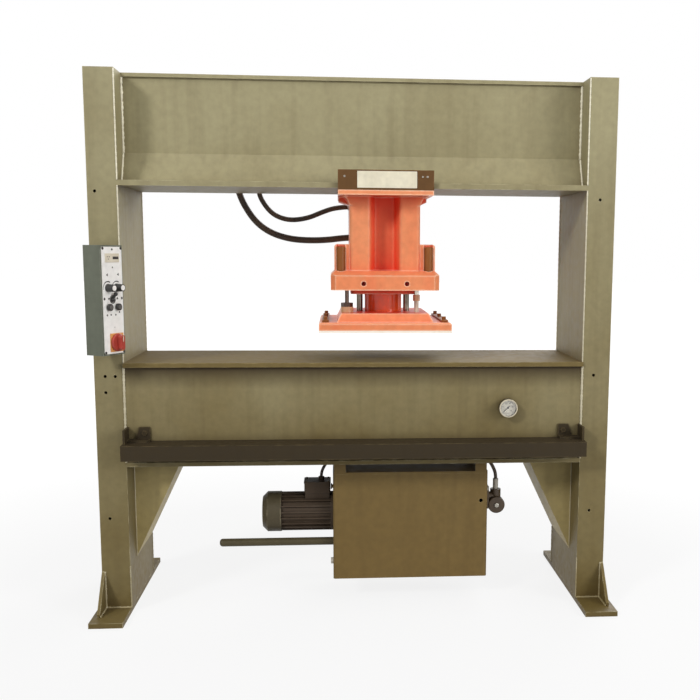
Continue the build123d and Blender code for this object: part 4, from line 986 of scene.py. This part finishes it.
# Travelling head
# An orange-painted iron casting under a trolley of dark oiled steel bars, whose rollers run on the beam's
# rail. Painted shade turns the casting's recess deep red, and painted highlights run pale along its edges.
head_ceiling = 1.9
# Painted light: deep red painted shade in corners and the recess, and pale painted highlights along the
# edges.
orange_paint = sprayed_paint(
    "orange_paint", colour(236, 151, 105), colour(226, 116, 68), colour(255, 226, 196), colour(230, 54, 30),
    ceiling=head_ceiling, gloss=0.28, edge_width=0.010, corner_shade=0.95, corner=0.15, even=0.75, shine=0.25,
)
dress(orange_paint, "head_body", "gland_flange", "press_plate")
ram_paint = sprayed_paint(
    "ram_paint", colour(242, 98, 44), colour(240, 92, 40), colour(250, 160, 116), colour(222, 70, 34),
    ceiling=head_ceiling, gloss=0.08, corner_shade=0.2, shine=0.5,
)
dress(ram_paint, "ram")
oiled_steel = sprayed_paint(
    "oiled_steel", colour(98, 68, 36), colour(88, 58, 30), colour(146, 112, 80), colour(52, 34, 20),
    ceiling=head_ceiling, gloss=0.4,
)
dress(oiled_steel, "trolley_bars")
sleeve_paint = sprayed_paint(
    "sleeve_paint", colour(142, 86, 38), colour(132, 76, 32), colour(190, 140, 100), colour(74, 42, 24),
    ceiling=head_ceiling, gloss=0.35,
)
dress(sleeve_paint, "side_sleeves", "pad_clips")
dress(
    turned_steel, "roller_axles", "roller_front_left", "roller_front_right", "roller_rear_left",
    "roller_rear_right",
)

# A pale bare plate on the trolley's front bar, small screws beside it, and painted bolts under the top plate.
bar_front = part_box("trolley_bars")[0].y
plate_left, plate_right, plate_bottom, plate_top = 0.001, 0.227, 1.655, 1.717
plate_middle = Vector(((plate_left + plate_right) / 2, bar_front, (plate_bottom + plate_top) / 2))
plate_rounding = 0.0015
plate_thick = 0.0012
plate_paint = sprayed_paint(
    "plate_paint", colour(230, 222, 198), colour(222, 213, 188), colour(246, 240, 222),
    colour(176, 160, 128), ceiling=head_ceiling, gloss=0.35,
)
bm = bmesh.new()
print_bar(bm, 0, 0, plate_right - plate_left, plate_top - plate_bottom)
bmesh.ops.bevel(
    bm, geom=bm.verts[:], offset=plate_rounding, affect="VERTICES", segments=3, profile=0.5, material=-1
)
finish_print("bare_plate", bm, plate_middle, rightward, frontward, plate_thick, plate_paint, "head")
head_low, head_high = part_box("head_body")
head_middle = (head_low.x + head_high.x) / 2
top_plate_under = 1.629
bolt_pitch = 0.155
bolt_row = 0.215
bm = bmesh.new()
for side in (-1, 1):
    for end in (-1, 1):
        place = (head_middle + side * bolt_pitch, end * bolt_row, top_plate_under)
        fastener(bm, place, (0, 0, -1), radius=0.0105, height=0.008)
add_piece("head_bolts", bm, orange_paint, "head", smooth=False)
small_screw_gap = 0.018
left_axle = Vector(joints["front_left_roll"]["pos_m"])
right_axle = Vector(joints["front_right_roll"]["pos_m"])
bm = bmesh.new()
for axle in (left_axle, right_axle):
    place = (axle.x, bar_front, axle.z)
    fastener(bm, place, frontward, radius=0.0042, height=0.0025, sides=12, socket=0.002)
place = (right_axle.x - small_screw_gap, bar_front, right_axle.z)
fastener(bm, place, frontward, radius=0.0034, height=0.0022, sides=12)
add_piece("bar_screws", bm, turned_steel, "head", smooth=False)


# Press plate, rods and pad
# Ground and chromed rods guide the press plate; a cream cutting pad is held under it by clips on each side.
# The return rod stands in a painted foot with a dark nut, and the limit rod carries a painted collar.
chrome = worked_steel("chrome", colour(150, 138, 126), colour(98, 84, 74), 0.08, 0.2)
dress(chrome, "guide_rods")
foot_cream = colour(204, 160, 120)
nut_bottom, nut_top = 1.199, 1.215
return_finish = banded_finish(
    "return_finish", foot_cream, [(nut_bottom, colour(70, 42, 26)), (nut_top, colour(104, 86, 76))],
    smooth=0.2, rough=0.35, bare_from=nut_top,
)
dress(return_finish, "return_rod")
collar_bottom, collar_top = 1.223, 1.247
limit_bands = [(collar_bottom, foot_cream), (collar_top, colour(206, 200, 188))]
limit_finish = banded_finish(
    "limit_finish", colour(206, 196, 176), limit_bands, smooth=0.2, rough=0.35, bare_from=collar_top
)
dress(limit_finish, "limit_rod")
pad_cream = moulded_plastic("pad_cream", colour(250, 240, 226), colour(240, 226, 204), 0.5)
dress(pad_cream, "press_pad")
